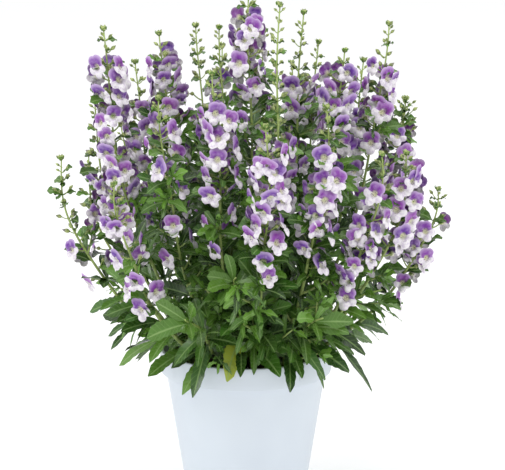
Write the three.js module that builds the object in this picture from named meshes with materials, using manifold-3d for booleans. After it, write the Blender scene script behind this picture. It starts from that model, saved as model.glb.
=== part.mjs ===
// A potted angelonia: many flowering stems, leafy shoots round the rim, potting soil and a white
// plastic pot. Millimetres, +Z up. The origin is the centre of the pot's underside.
import * as THREE from "three";
import Module from "manifold-3d";

const wasm = await Module();
wasm.setup();

// Driving dimensions of the pot and the soil.
const POT = { height: 140, rimRadius: 75, rimBand: 20, bandLean: 0.6, footRadius: 50.5, wall: 1.5 };
const DRAIN = { floor: 3, holes: 5, ringRadius: 30, holeRadius: 5 };
const TAPER = 0.16; // radius gained for each millimetre of height
const POT_SIDES = 32;
const SEAT_GAP = 0.3; // between pieces that rest in one another
const SOIL_TOP = 126;
const ROOT_DEPTH = 22; // how far a stem stands in the soil
const COLLAR = 1.6; // a stem rises straight this far above the soil before it leans

// Driving dimensions of the stems.
const STEM_SIDES = 4; // the real stem is four-angled
const STEM_STEPS = 5;
const MARKS_PER_STEP = 7;
const BASE_SHARE = 0.27; // a flowering stem's foot stands at this share of its tip's distance from the axis
const SHOOT_RING = 53; // leafy shoots stand on a ring of this radius
// The bend of a kind of stem: the shares of its reach and of its rise at the two inner points of its curve.
const FLOWERING = { footRadius: 2.3, tipRadius: 0.95, low: [0.52, 0.2], high: [1, 0.6] };
const LEAFY = { footRadius: 2, tipRadius: 1.1, low: [0.12, 0.4], high: [0.6, 0.85] };

// Each flowering stem: where its tip is, and the shares of its length where bloom starts and ends.
const FLOWERING_STEMS = [
  { x: -158, y: -18, top: 308, from: 0.5, to: 0.7 },
  { x: -142, y: 58, top: 298, from: 0.46, to: 0.78 },
  { x: -132, y: 18, top: 361, from: 0.44, to: 0.78 },
  { x: -117, y: -42, top: 419, from: 0.42, to: 0.9 },
  { x: -96, y: 52, top: 381, from: 0.46, to: 0.85 },
  { x: -71, y: 2, top: 411, from: 0.5, to: 0.92 },
  { x: -41, y: 46, top: 413, from: 0.52, to: 0.84 },
  { x: -20, y: 2, top: 416, from: 0.5, to: 0.86 },
  { x: 4, y: -36, top: 444, from: 0.52, to: 0.94 },
  { x: 28, y: -84, top: 442, from: 0.4, to: 0.66 },
  { x: 48, y: 10, top: 428, from: 0.5, to: 0.8 },
  { x: 80, y: -32, top: 400, from: 0.44, to: 0.92 },
  { x: 119, y: 14, top: 418, from: 0.44, to: 0.87 },
  { x: 138, y: 60, top: 348, from: 0.42, to: 0.86 },
  { x: 162, y: -12, top: 280, from: 0.46, to: 0.86 },
  { x: 110, y: -84, top: 322, from: 0.42, to: 0.86 },
  { x: 66, y: -100, top: 362, from: 0.46, to: 0.9 },
  { x: 18, y: -132, top: 352, from: 0.48, to: 0.9 },
  { x: -24, y: -92, top: 388, from: 0.46, to: 0.88 },
  { x: -68, y: -76, top: 366, from: 0.46, to: 0.88 },
  { x: -104, y: -96, top: 300, from: 0.46, to: 0.86 },
  { x: 104, y: 74, top: 380, from: 0.46, to: 0.82 },
  { x: 62, y: 58, top: 398, from: 0.5, to: 0.84 },
  { x: 14, y: 56, top: 408, from: 0.5, to: 0.84 },
  { x: -24, y: 98, top: 390, from: 0.48, to: 0.82 },
  { x: -74, y: 98, top: 365, from: 0.44, to: 0.8 },
  { x: 40, y: 106, top: 374, from: 0.46, to: 0.82 },
  { x: 84, y: 118, top: 346, from: 0.44, to: 0.8 },
  { x: -112, y: 104, top: 318, from: 0.42, to: 0.78 },
  { x: -46, y: 146, top: 320, from: 0.42, to: 0.78 },
  { x: 136, y: -40, top: 316, from: 0.46, to: 0.92 },
];

// Each leafy shoot round the rim: where its tip is.
const LEAFY_SHOOTS = [
  { x: -102, y: -58, top: 204 },
  { x: -48, y: -102, top: 190 },
  { x: -8, y: -108, top: 226 },
  { x: 62, y: -92, top: 188 },
  { x: 112, y: -46, top: 202 },
  { x: 118, y: 40, top: 192 },
  { x: 66, y: 104, top: 198 },
  { x: -24, y: 120, top: 194 },
  { x: -108, y: 52, top: 190 },
];

// How each kind of organ is set along its stem. A leaf leans from its stem by an angle and sags by a
// share of its length, and both go from the lowest leaf's values to the highest leaf's.
const LEAF = { halfWidth: 0.125, keel: 0.95, fold: 0.3, arc: 0.4, first: 12, quarter: 90, spread: 18 };
const STEM_LEAF = { step: 24, length: [50, 33], lean: [72, 52], sag: [0.45, 0.15] };
const SHOOT_LEAF = { step: 13, length: [46, 34], lean: [84, 34], sag: [0.55, 0.12] };
const BLOOM = { step: 9.5, turn: 137.5, lean: 58, pedicel: 10 };
const BUD = { step: 12, turn: 137.5, lean: 52, reach: 9.5, radius: 2.3, clear: 3 };
// What each kind of organ tries in turn until it has room: smaller sizes, less droop, and turns round
// its stem in degrees.
const LEAF_TRIES = { sizes: [1, 0.8, 0.65], drops: [1, 0.5], swings: [0, 24, -24, 48, -48, 75, -75] };
const BLOOM_TRIES = { sizes: [1, 0.75], swings: [0, 28, -28, 56, -56, 90, -90, 130] };
const BUD_SWINGS = [0, 40, -40, 90, -90];
const CELL_GAP = 3; // how much nearer an organ keeps to its own stem than to any other
const POT_GAP = 2.5;
const ORGAN_GAP = 2.2; // between the outer parts of what grows from one stem

// The face of a bloom: degrees round the throat, millimetres from it, and how far forward it stands.
// Two upper lobes make the hood, and three lower lobes the lip.
const BLOOM_OUTLINE = [
  [14, 6, 0.6],
  [52, 11.6, 2.8],
  [90, 7.6, 1.2],
  [128, 11.6, 2.8],
  [166, 6, 0.6],
  [200, 11.4, 2.4],
  [232, 5.6, 0.8],
  [256, 11.8, 3],
  [284, 11.8, 3],
  [308, 5.6, 0.8],
  [340, 11.4, 2.4],
];
const THROAT_DEPTH = 0.8;
const TUBE_LENGTH = 5; // from the throat back to the pedicel
const NECK_RADIUS = 1.7;
const NECK_TURN = 70; // degrees: each corner of the neck is behind its own third of the face

const ALONG_X = new THREE.Vector3(1, 0, 0);
const ALONG_Y = new THREE.Vector3(0, 1, 0);
const UP = new THREE.Vector3(0, 0, 1);
const radians = THREE.MathUtils.degToRad;

// Draws that repeat from one build to the next: a Lehmer generator, one for each organ.
function drawsFrom(...keys) {
  const modulus = 2147483647;
  let state = keys.reduce((sum, key) => (sum * 7919 + key + 104729) % modulus, 1);
  const draw = (low, high) => {
    state = (state * 48271) % modulus;
    return low + ((high - low) * state) / modulus;
  };
  draw(0, 1);
  return draw;
}

// A closed solid from its points and triangles, turned so that its faces point out.
function solidFrom(points, triangles) {
  const volume = triangles.reduce(
    (sum, [a, b, c]) => sum + points[a].dot(points[b].clone().cross(points[c])),
    0,
  );
  const outward = volume > 0 ? triangles : triangles.map(([a, b, c]) => [a, c, b]);
  const mesh = new wasm.Mesh({
    numProp: 3,
    vertProperties: new Float32Array(points.flatMap((p) => p.toArray())),
    triVerts: new Uint32Array(outward.flat()),
  });
  return new wasm.Manifold(mesh);
}

// Joins rings of points, each with its own count, into one closed solid. A ring of one point is a tip.
function loft(rings) {
  const points = rings.flat();
  const starts = rings.map((_, i) => rings.slice(0, i).flat().length);
  const triangles = [];
  rings.slice(1).forEach((ring, i) => {
    const [low, high] = [rings[i].length, ring.length];
    const lowAt = (k) => starts[i] + (k % low);
    const highAt = (k) => starts[i + 1] + (k % high);
    let [a, b] = [0, 0];
    while (a < (low > 1 ? low : 0) || b < (high > 1 ? high : 0)) {
      const lowNext = (a + 1) / low <= (b + 1) / high;
      if (high === 1 || (low > 1 && a < low && (lowNext || b >= high))) {
        triangles.push([lowAt(a), lowAt(a + 1), highAt(b)]);
        a += 1;
      } else {
        triangles.push([lowAt(a), highAt(b + 1), highAt(b)]);
        b += 1;
      }
    }
  });
  const closeEnd = (ring, start, flip) => {
    for (let k = 1; k < ring.length - 1; k += 1) {
      triangles.push(flip ? [start, start + k + 1, start + k] : [start, start + k, start + k + 1]);
    }
  };
  closeEnd(rings[0], starts[0], true);
  closeEnd(rings.at(-1), starts.at(-1), false);
  return solidFrom(points, triangles);
}

// A ring of points round a centre, in the plane of two unit vectors.
function ringAt(centre, across, along, radius, sides, turn = 0) {
  return Array.from({ length: sides }, (_, k) => {
    const angle = turn + (k * 2 * Math.PI) / sides;
    return centre
      .clone()
      .addScaledVector(across, radius * Math.cos(angle))
      .addScaledVector(along, radius * Math.sin(angle));
  });
}

// A solid as a named three.js mesh.
function meshOf(name, solid, material) {
  const { numProp, vertProperties, triVerts } = solid.getMesh();
  const geometry = new THREE.BufferGeometry();
  geometry.setAttribute("position", new THREE.BufferAttribute(vertProperties, numProp));
  geometry.setIndex(new THREE.BufferAttribute(triVerts, 1));
  geometry.computeVertexNormals();
  const mesh = new THREE.Mesh(geometry, material);
  mesh.name = name;
  return mesh;
}

// A solid of revolution about Z from [radius, height] pairs that start and end on the axis.
function turned(profile, sides) {
  const rings = profile.map(([radius, z]) => {
    const middle = new THREE.Vector3(0, 0, z);
    return radius === 0 ? [middle] : ringAt(middle, ALONG_X, ALONG_Y, radius, sides);
  });
  return loft(rings);
}

const BAND_LOW = POT.height - POT.rimBand;
const outerRadiusAt = (z) => POT.footRadius + TAPER * z;
const innerTop = POT.rimRadius - 2 * POT.wall;
const innerRadiusAt = (z) => {
  const low = outerRadiusAt(Math.min(z, BAND_LOW)) - POT.wall;
  return z < BAND_LOW ? low : THREE.MathUtils.mapLinear(z, BAND_LOW, POT.height, low, innerTop);
};

function uprightPrism(x, y, low, high, radius, sides, turn = 0) {
  const ring = (z) => ringAt(new THREE.Vector3(x, y, z), ALONG_X, ALONG_Y, radius, sides, turn);
  return loft([ring(low), ring(high)]);
}

function buildPot() {
  const profile = [
    [0, 0],
    [POT.footRadius, 0],
    [outerRadiusAt(BAND_LOW), BAND_LOW],
    [POT.rimRadius - POT.bandLean, BAND_LOW + 1],
    [POT.rimRadius, POT.height],
    [innerTop, POT.height],
    [innerRadiusAt(BAND_LOW), BAND_LOW],
    [innerRadiusAt(DRAIN.floor), DRAIN.floor],
    [0, DRAIN.floor],
  ];
  let pot = turned(profile, POT_SIDES);
  for (let i = 0; i < DRAIN.holes; i += 1) {
    const angle = (i * 2 * Math.PI) / DRAIN.holes;
    const [x, y] = [DRAIN.ringRadius * Math.cos(angle), DRAIN.ringRadius * Math.sin(angle)];
    pot = pot.subtract(uprightPrism(x, y, -1, DRAIN.floor + 1, DRAIN.holeRadius, 6));
  }
  return pot;
}

function buildSoil(stems) {
  const low = DRAIN.floor + SEAT_GAP;
  const block = turned(
    [
      [0, low],
      [innerRadiusAt(low) - SEAT_GAP, low],
      [innerRadiusAt(BAND_LOW) - SEAT_GAP, BAND_LOW],
      [innerRadiusAt(SOIL_TOP) - SEAT_GAP, SOIL_TOP],
      [0, SOIL_TOP],
    ],
    POT_SIDES,
  );
  return stems.reduce((soil, stem) => {
    const foot = stem.axis[0];
    const radius = stem.kind.footRadius + SEAT_GAP * Math.SQRT2;
    const [deep, above] = [foot.z - SEAT_GAP, SOIL_TOP + 1];
    return soil.subtract(uprightPrism(foot.x, foot.y, deep, above, radius, STEM_SIDES, stem.heading));
  }, block);
}

// A stem's line: straight up out of the soil, then out and up to its tip, all in one upright plane.
function stemFrom(place, kind, number) {
  const tip = new THREE.Vector3(place.x, place.y, place.top);
  const reach = Math.hypot(place.x, place.y);
  const footShare = kind === LEAFY ? SHOOT_RING / reach : BASE_SHARE;
  const collar = new THREE.Vector3(place.x * footShare, place.y * footShare, SOIL_TOP + COLLAR);
  const toTip = tip.clone().sub(collar);
  const bend = ([out, up]) => collar.clone().add(toTip.clone().multiply(new THREE.Vector3(out, out, up)));
  const curve = new THREE.CubicBezierCurve3(collar, bend(kind.low), bend(kind.high), tip);
  const axis = [collar.clone().setZ(SOIL_TOP - ROOT_DEPTH)];
  for (let i = 0; i <= STEM_STEPS; i += 1) axis.push(curve.getPoint(i / STEM_STEPS));
  const marks = [];
  for (let i = 0; i < axis.length - 1; i += 1) {
    for (let k = 0; k < MARKS_PER_STEP; k += 1) {
      marks.push(axis[i].clone().lerp(axis[i + 1], k / MARKS_PER_STEP));
    }
  }
  marks.push(tip);
  const heading = Math.atan2(place.y, place.x);
  const sideways = new THREE.Vector3(-Math.sin(heading), Math.cos(heading), 0);
  const steps = axis.slice(2).map((point, i) => point.distanceTo(axis[i + 1]));
  const length = steps.reduce((sum, step) => sum + step, 0);
  return { ...place, kind, number, axis, marks, heading, sideways, steps, length, grown: [] };
}

// The place on a stem at a distance along it from the collar, with its frame.
function placeOn(stem, distance) {
  let [i, left] = [0, distance];
  while (i < stem.steps.length - 1 && left > stem.steps[i]) {
    left -= stem.steps[i];
    i += 1;
  }
  const [low, high] = [stem.axis[i + 1], stem.axis[i + 2]];
  const along = high.clone().sub(low).normalize();
  const point = low.clone().addScaledVector(along, left);
  const out = stem.sideways.clone().cross(along);
  const facing = (turn) =>
    out.clone().multiplyScalar(Math.cos(turn)).addScaledVector(stem.sideways, Math.sin(turn));
  const leaning = (turn, lean) =>
    along.clone().multiplyScalar(Math.cos(lean)).addScaledVector(facing(turn), Math.sin(lean));
  return { point, along, facing, leaning };
}

const stemRadiusAt = (stem, share) =>
  stem.kind.footRadius + (stem.kind.tipRadius - stem.kind.footRadius) * share;

const nearestMark = (stem, point) =>
  Math.sqrt(Math.min(...stem.marks.map((mark) => mark.distanceToSquared(point))));

// True where each point lies in the stem's own cell of space: nearer to it than to any other stem.
function inOwnCell(points, stem, stems) {
  return points.every((point) => {
    const own = nearestMark(stem, point) + CELL_GAP;
    return stems.every((other) => other === stem || nearestMark(other, point) > own);
  });
}

// True where each point is clear of the pot's wall and of the soil.
function clearOfPot(points) {
  return points.every(({ x, y, z }) => {
    const radius = Math.hypot(x, y);
    if (radius > POT.rimRadius + POT_GAP) return true;
    return radius < POT.rimRadius - 2 * POT_GAP ? z > SOIL_TOP + 2 * POT_GAP : z > POT.height + POT_GAP;
  });
}

// Points spread evenly along each of these lines.
function spreadAlong(lines, steps) {
  return lines.flatMap((line) =>
    line.slice(1).flatMap((end, i) =>
      Array.from({ length: steps }, (_, k) => line[i].clone().lerp(end, (k + 1) / steps)),
    ),
  );
}

// Tries one placing after another, and gives the first that is clear of the pot, of the other stems
// and of what already grows from its own stem.
function firstClear(tries, shapeOf, stem, stems) {
  for (const attempt of tries) {
    const shape = shapeOf(attempt);
    const apart = () =>
      shape.free.every((point) => stem.grown.every((other) => point.distanceTo(other) > ORGAN_GAP));
    if (clearOfPot(shape.outer) && inOwnCell(shape.tested, stem, stems) && apart()) {
      stem.grown.push(...shape.free);
      return shape;
    }
  }
  return null;
}

// A leaf's blade: a bowed midrib with its keel below, and an edge on either side that waves. A station
// gives its share of the length, its share of the width, and how far its edges wave up and down.
const BLADE = {
  long: [
    [0.3, 0.8, 0.5],
    [0.56, 1, -0.6],
    [0.82, 0.62, 0.4],
  ],
  short: [
    [0.34, 0.92, 0.4],
    [0.7, 0.84, -0.4],
  ],
};

function leafShape(stem, distance, turn, lean, length, sag) {
  const at = placeOn(stem, distance);
  const heading = at.leaning(turn, lean);
  const across = heading.clone().cross(at.along).normalize();
  const span = length / (1 + LEAF.arc * sag * sag);
  const midrib = (u) =>
    at.point
      .clone()
      .addScaledVector(heading, span * u)
      .addScaledVector(UP, -span * sag * u * u);
  const root = at.point.clone();
  const tip = midrib(1);
  const rings = (stem.kind === LEAFY ? BLADE.long : BLADE.short).map(([u, width, wave]) => {
    const centre = midrib(u);
    const half = length * LEAF.halfWidth * width;
    const edge = (side) =>
      centre
        .clone()
        .addScaledVector(across, side * half)
        .addScaledVector(UP, half * LEAF.fold + side * wave);
    return [edge(1), edge(-1), centre.clone().addScaledVector(UP, -LEAF.keel)];
  });
  const lines = [0, 1, 2].map((k) => [root, ...rings.map((ring) => ring[k]), tip]);
  return {
    rings: [[root], ...rings, [tip]],
    outer: spreadAlong(lines, 5),
    tested: [...rings.flat(), tip],
    free: spreadAlong(lines.map((line) => line.slice(1)), 5),
  };
}

// Leaves stand in pairs, and each pair a quarter turn from the last.
function leavesOf(stem, stems) {
  const kind = stem.kind === LEAFY ? SHOOT_LEAF : STEM_LEAF;
  const end = stem.kind === LEAFY ? stem.length - 2 : stem.length * stem.from;
  const leaves = [];
  for (let node = 0, s = LEAF.first; s < end; node += 1, s += kind.step) {
    const high = (s - LEAF.first) / (end - LEAF.first);
    const between = ([low, top]) => low + (top - low) * high;
    for (let side = 0; side < 2; side += 1) {
      const draw = drawsFrom(1, stem.number, node, side);
      const length = between(kind.length) * draw(0.88, 1.1);
      const turn = radians(LEAF.quarter * node + 180 * side + 45 + draw(-LEAF.spread, LEAF.spread));
      const lean = radians(between(kind.lean) + draw(-9, 9));
      const sag = between(kind.sag) * draw(0.7, 1.3);
      const tries = LEAF_TRIES.sizes.flatMap((size) =>
        LEAF_TRIES.drops.flatMap((drop) =>
          LEAF_TRIES.swings.map((swing) => [size, drop, radians(swing)]),
        ),
      );
      const shapeOf = ([size, drop, swing]) =>
        leafShape(stem, s, turn + swing, lean * (0.5 + drop / 2), length * size, sag * drop);
      const leaf = firstClear(tries, shapeOf, stem, stems);
      if (leaf) leaves.push({ ...leaf, node, side });
    }
  }
  return leaves;
}

// A bloom: its face of lobes round the throat, the tube behind it, and the pedicel to the stem.
function bloomShape(stem, distance, turn, tilt, roll, pedicel) {
  const at = placeOn(stem, distance);
  const rise = at.leaning(turn, radians(BLOOM.lean));
  const calyx = at.point.clone().addScaledVector(rise, pedicel);
  const level = at.facing(turn).setZ(0).normalize();
  const facing = level.multiplyScalar(Math.cos(tilt)).addScaledVector(UP, Math.sin(tilt));
  const right = facing.clone().cross(UP).normalize().applyAxisAngle(facing, roll);
  const top = right.clone().cross(facing);
  const centre = calyx.clone().addScaledVector(facing, TUBE_LENGTH);
  const face = BLOOM_OUTLINE.map(([degrees, radius, forward]) =>
    centre
      .clone()
      .addScaledVector(right, radius * Math.cos(radians(degrees)))
      .addScaledVector(top, radius * Math.sin(radians(degrees)))
      .addScaledVector(facing, forward),
  );
  const throat = centre.clone().addScaledVector(facing, -THROAT_DEPTH);
  const across = right.clone().addScaledVector(rise, -right.dot(rise)).normalize();
  const neck = ringAt(calyx, across, across.clone().cross(rise), NECK_RADIUS, 3, radians(NECK_TURN));
  const root = at.point.clone();
  const tested = [...face, centre];
  return { rings: [[throat], face, neck, [root]], outer: face, tested, free: tested };
}

function bloomsOf(stem, stems) {
  if (stem.kind === LEAFY) return [];
  const blooms = [];
  const [low, high] = [stem.length * stem.from, stem.length * stem.to];
  for (let slot = 0, s = low; s < high; slot += 1, s += BLOOM.step) {
    const draw = drawsFrom(2, stem.number, slot);
    const turn = radians(BLOOM.turn * slot + draw(-15, 15));
    const tilt = radians(draw(-14, 10));
    const roll = radians(draw(-16, 16));
    const pedicel = BLOOM.pedicel * draw(0.85, 1.1);
    const tries = BLOOM_TRIES.sizes.flatMap((size) =>
      BLOOM_TRIES.swings.map((swing) => [size, radians(swing)]),
    );
    const shapeOf = ([size, swing]) => bloomShape(stem, s, turn + swing, tilt, roll, pedicel * size);
    const bloom = firstClear(tries, shapeOf, stem, stems);
    if (bloom) blooms.push({ ...bloom, slot });
  }
  return blooms;
}

// A bud: a drop on a stalk that thins to its root in the stem.
function budShape(stem, distance, turn, reach, radius) {
  const at = placeOn(stem, distance);
  const heading = at.leaning(turn, radians(BUD.lean));
  const across = heading.clone().cross(at.along).normalize();
  const upward = across.clone().cross(heading);
  const root = at.point.clone();
  const middle = at.point.clone().addScaledVector(heading, reach - radius);
  const belly = ringAt(middle, across, upward, radius, 3);
  const tip = at.point.clone().addScaledVector(heading, reach + radius);
  const tested = [...belly, tip];
  return { rings: [[root], belly, [tip]], outer: tested, tested, free: tested };
}

function budsOf(stem, stems) {
  if (stem.kind === LEAFY) return [];
  const buds = [];
  const low = stem.length * stem.to;
  for (let slot = 0, s = low; s < stem.length - BUD.clear; slot += 1, s += BUD.step) {
    const draw = drawsFrom(3, stem.number, slot);
    const young = (s - low) / (stem.length - low);
    const turn = radians(BUD.turn * slot + draw(-20, 20));
    const reach = BUD.reach * (1 - 0.55 * young) * draw(0.85, 1.15);
    const radius = BUD.radius * (1 - 0.45 * young);
    const shapeOf = (swing) => budShape(stem, s, turn + radians(swing), reach, radius);
    const bud = firstClear(BUD_SWINGS, shapeOf, stem, stems);
    if (bud) buds.push({ ...bud, slot });
  }
  return buds;
}

// The stem itself: four-angled, thinning upwards, with a small closed bud at its tip.
function stemSolid(stem) {
  const last = stem.axis.length - 1;
  const rings = stem.axis.slice(0, last).map((point, i) => {
    const along = stem.axis[i + 1].clone().sub(stem.axis[Math.max(i - 1, 0)]).normalize();
    const out = stem.sideways.clone().cross(along);
    return ringAt(point, out, stem.sideways, stemRadiusAt(stem, i / last), STEM_SIDES);
  });
  return loft([...rings, [stem.axis[last]]]);
}

const stems = [
  ...FLOWERING_STEMS.map((place, i) => stemFrom(place, FLOWERING, i)),
  ...LEAFY_SHOOTS.map((place, i) => stemFrom(place, LEAFY, FLOWERING_STEMS.length + i)),
];

// A stem with what grows from it, fused into one body. Every second bloom and bud is built.
function grow(stem) {
  const leaves = leavesOf(stem, stems);
  const blooms = bloomsOf(stem, stems).filter(({ slot }) => slot % 2 === 0);
  const buds = budsOf(stem, stems).filter(({ slot }) => slot % 2 === 0);
  const organs = [...leaves, ...blooms, ...buds];
  return organs.reduce((whole, organ) => whole.add(loft(organ.rings)), stemSolid(stem));
}

const finish = (color, roughness) => new THREE.MeshStandardMaterial({ color, roughness, metalness: 0 });
const FINISHES = {
  pot: finish(0xe3e7ee, 0.35),
  soil: finish(0x3a2a1e, 0.95),
  flowering: finish(0x6f5a94, 0.6),
  leafy: finish(0x4c7a2e, 0.55),
};

const plant = new THREE.Group();
plant.add(meshOf("pot", buildPot(), FINISHES.pot));
plant.add(meshOf("soil", buildSoil(stems), FINISHES.soil));
for (const stem of stems) {
  const leafy = stem.kind === LEAFY;
  const count = leafy ? stem.number - FLOWERING_STEMS.length : stem.number;
  const name = `${leafy ? "leafy_shoot" : "flowering_stem"}_${String(count + 1).padStart(2, "0")}`;
  plant.add(meshOf(name, grow(stem), leafy ? FINISHES.leafy : FINISHES.flowering));
}

export default plant;
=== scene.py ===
"""A potted angelonia: flowering stems and leafy shoots in a white plastic pot, on a pale studio floor."""

import logging
import math
from collections.abc import Callable, Iterable, Iterator
from dataclasses import dataclass, field
from enum import Enum, IntEnum
from itertools import product

import bpy
import numpy as np
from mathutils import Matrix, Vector


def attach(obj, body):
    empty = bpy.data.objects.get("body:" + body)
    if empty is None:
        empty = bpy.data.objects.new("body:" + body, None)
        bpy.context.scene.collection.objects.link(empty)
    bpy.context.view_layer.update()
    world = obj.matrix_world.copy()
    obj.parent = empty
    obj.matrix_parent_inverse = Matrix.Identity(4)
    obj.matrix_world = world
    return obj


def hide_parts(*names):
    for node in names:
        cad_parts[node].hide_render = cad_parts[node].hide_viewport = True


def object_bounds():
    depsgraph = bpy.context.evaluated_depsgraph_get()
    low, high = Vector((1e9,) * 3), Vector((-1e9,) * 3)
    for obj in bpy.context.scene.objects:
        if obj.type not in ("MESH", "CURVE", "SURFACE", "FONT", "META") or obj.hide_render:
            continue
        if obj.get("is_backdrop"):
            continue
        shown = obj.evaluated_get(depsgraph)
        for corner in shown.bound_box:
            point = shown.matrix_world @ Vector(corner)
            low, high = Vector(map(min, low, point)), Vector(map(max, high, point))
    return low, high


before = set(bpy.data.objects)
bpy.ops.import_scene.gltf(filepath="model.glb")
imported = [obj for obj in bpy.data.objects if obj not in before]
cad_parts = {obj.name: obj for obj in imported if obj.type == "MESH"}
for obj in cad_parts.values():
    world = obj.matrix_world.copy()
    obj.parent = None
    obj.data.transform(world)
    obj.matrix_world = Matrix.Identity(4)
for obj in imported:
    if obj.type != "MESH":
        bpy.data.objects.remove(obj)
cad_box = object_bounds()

log = logging.getLogger("angelonia")

MM = 0.001  # the sizes below are in millimetres, and meshes are in metres
ROOT = "root"
UP = np.array([0.0, 0.0, 1.0])
LEVEL = np.array([1, 1, 0])  # takes the rise out of a direction
FULL_TURN = 2 * math.pi
GOLDEN_TURN = 137.5

Array = np.ndarray
Pair = tuple[float, float]


def unit(vector: Array) -> Array:
    """Return the vector at length one."""
    return vector / np.linalg.norm(vector)


def toward(first: Array, second: Array, angle: float) -> Array:
    """Return the direction at an angle, in radians, from the first direction towards the second."""
    return first * math.cos(angle) + second * math.sin(angle)


def lerp(low: float, high: float, share: float) -> float:
    """Return the value at a share of the way from low to high."""
    return low + (high - low) * share


def even_turns(count: int) -> Array:
    """Return angles, in radians, spread evenly round a circle."""
    return FULL_TURN * np.arange(count) / count


class Topic(IntEnum):
    """What draws are for. The leaves, blooms and buds of the part's own solids take the same draws there."""

    LEAF = 1
    BLOOM = 2
    BUD = 3
    UNDERGROWTH = 4
    SWAY = 5
    FILLING_BLOOM = 6
    LEAF_FORM = 11
    BLOOM_FORM = 12
    BUD_FORM = 13
    BUD_CROWN = 14
    TIP_KNOB = 15
    SIDE_SHOOT_FORM = 16
    CROWN_TURN = 17
    BLOOM_TURN = 18
    CRUMB = 21


class Draws:
    """Random draws that come out the same each run: a Lehmer generator with whole-number keys."""

    MODULUS = 2147483647
    MULTIPLIER = 48271
    KEY_MULTIPLIER = 7919
    KEY_SHIFT = 104729

    def __init__(self, *keys: int) -> None:
        """Seed the generator.

        Args:
            keys: Whole numbers that name what the draws are for.
        """
        self.state = 1
        for key in keys:
            self.state = (self.state * self.KEY_MULTIPLIER + key + self.KEY_SHIFT) % self.MODULUS
        self.between(0, 1)

    def between(self, low: float, high: float) -> float:
        """Return the next draw, from low to high."""
        self.state = self.state * self.MULTIPLIER % self.MODULUS
        return low + (high - low) * self.state / self.MODULUS

    def either_way(self, most: float) -> float:
        """Return the next draw, up to the most on either side of nought."""
        return self.between(-most, most)

    def chance(self, share: float) -> bool:
        """Return whether the next draw falls in a share of all draws."""
        return self.between(0, 1) < share


@dataclass(frozen=True)
class StemKind:
    """How a kind of stem thins, bends and ages.

    The inner points of its curve are shares of its reach and its rise. Its youth is the mark on its
    topmost leaf, and the higher the power, the sooner the mark falls off below it.
    """

    foot_radius: float
    tip_radius: float
    low: Pair
    high: Pair
    youth: float
    youth_power: float


@dataclass(frozen=True)
class LeafHabit:
    """How leaves stand along a kind of stem, and how far each may differ.

    The length, the lean in degrees and the sag go from the lowest leaf's value to the highest leaf's. A
    station of the blade is a share of its length, a share of its half width and how far its edge waves.
    """

    step: float
    length: Pair
    lean: Pair
    sag: Pair
    blade: tuple[tuple[float, float, float], ...]
    first: float = 12
    tip_gap: float = 2
    length_range: Pair = (0.88, 1.1)
    turn_range: float = 18
    lean_range: float = 9
    sag_range: Pair = (0.7, 1.3)


@dataclass(frozen=True)
class BloomHabit:
    """How blooms stand along a spike: their stalks, and how they turn, tilt and roll, in degrees.

    Aside, nod and roll say how far each is then turned its own way in the dressed part.
    """

    step: float = 9.5
    stalk: float = 10
    stalk_lean: float = 58
    tube: float = 5
    stalk_range: Pair = (0.85, 1.1)
    turn_range: float = 15
    tilt_range: Pair = (-14, 10)
    roll_range: float = 16
    aside: float = 34
    nod: float = 20
    roll: float = 22


@dataclass(frozen=True)
class FillingHabit:
    """How the blooms that close up a crowded spike stand, and the room in millimetres that each needs."""

    first_seed: int = 50
    tries: int = 6
    try_turn: float = 60
    past_end: float = 3
    past_share: float = 0.05
    stalk_range: Pair = (0.7, 1.0)
    turn_range: float = 20
    tilt_range: Pair = (-20, 14)
    roll_range: float = 20
    from_blooms: float = 8.8
    from_stems: float = 5


@dataclass(frozen=True)
class BudHabit:
    """How buds stand above the blooms, and the shares of their sizes that they lose up to the tip."""

    step: float = 12
    tip_gap: float = 3
    lean: float = 52
    reach: float = 9.5
    reach_loss: float = 0.55
    reach_range: Pair = (0.85, 1.15)
    radius: float = 2.3
    radius_loss: float = 0.45
    turn_range: float = 20


@dataclass(frozen=True)
class UndergrowthHabit:
    """How the further leaves and the side shoots stand in the lower half of the plant.

    They go on past the start of a flowering stem's bloom, and end below a leafy shoot's tip. A stem whose tip
    stands further aside than the outer tip leaves a bare share of its places empty. The shares of places
    with a side shoot fall up a flowering stem, and are even on a leafy one. The pairs for a leaf's length,
    lean and sag go from the foot of the leafy part of a stem to its top.
    """

    first: float = 16.0
    step: float = 15
    past_bloom: float = 14
    below_tip: float = 8.0
    usual_bare: float = 0.6
    outer_tip: float = 90
    bare_left: float = 0.9
    bare_right: float = 0.75
    shoots_low: float = 0.6
    shoots_fall: float = 0.25
    shoots_leafy: float = 0.15
    turn_range: float = 40
    place_range: float = 4
    leaf_aside: float = 80
    lean: Pair = (80, 56)
    lean_range: float = 18
    length: Pair = (45, 30)
    length_range: Pair = (0.75, 1.1)
    sag: Pair = (0.65, 0.15)
    sag_range: Pair = (0.4, 1.4)
    first_seed: int = 100


@dataclass(frozen=True)
class SideShootHabit:
    """How a side shoot grows: its stalk, its pairs of leaves, and the rosette of young leaves at its tip."""

    points: int = 6
    lean_range: Pair = (38, 68)
    length: Pair = (46, 16)
    length_range: Pair = (0.6, 1.15)
    rise: float = 0.22
    pair_shares: Pair = (0.5, 0.8)
    leaf: Pair = (36, 24)
    leaf_range: Pair = (0.8, 1.15)
    pair_loss: float = 0.25
    leaf_lean: Pair = (44, 72)
    leaf_sag: Pair = (0.15, 0.5)
    leaf_youth: Pair = (0.0, 0.35)
    rosette: int = 5
    rosette_lean: Pair = (25, 60)
    rosette_leaf: Pair = (11, 20)
    rosette_sag: float = 0.1
    rosette_youth: Pair = (0.2, 0.9)
    rosette_seed: int = 10


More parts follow.
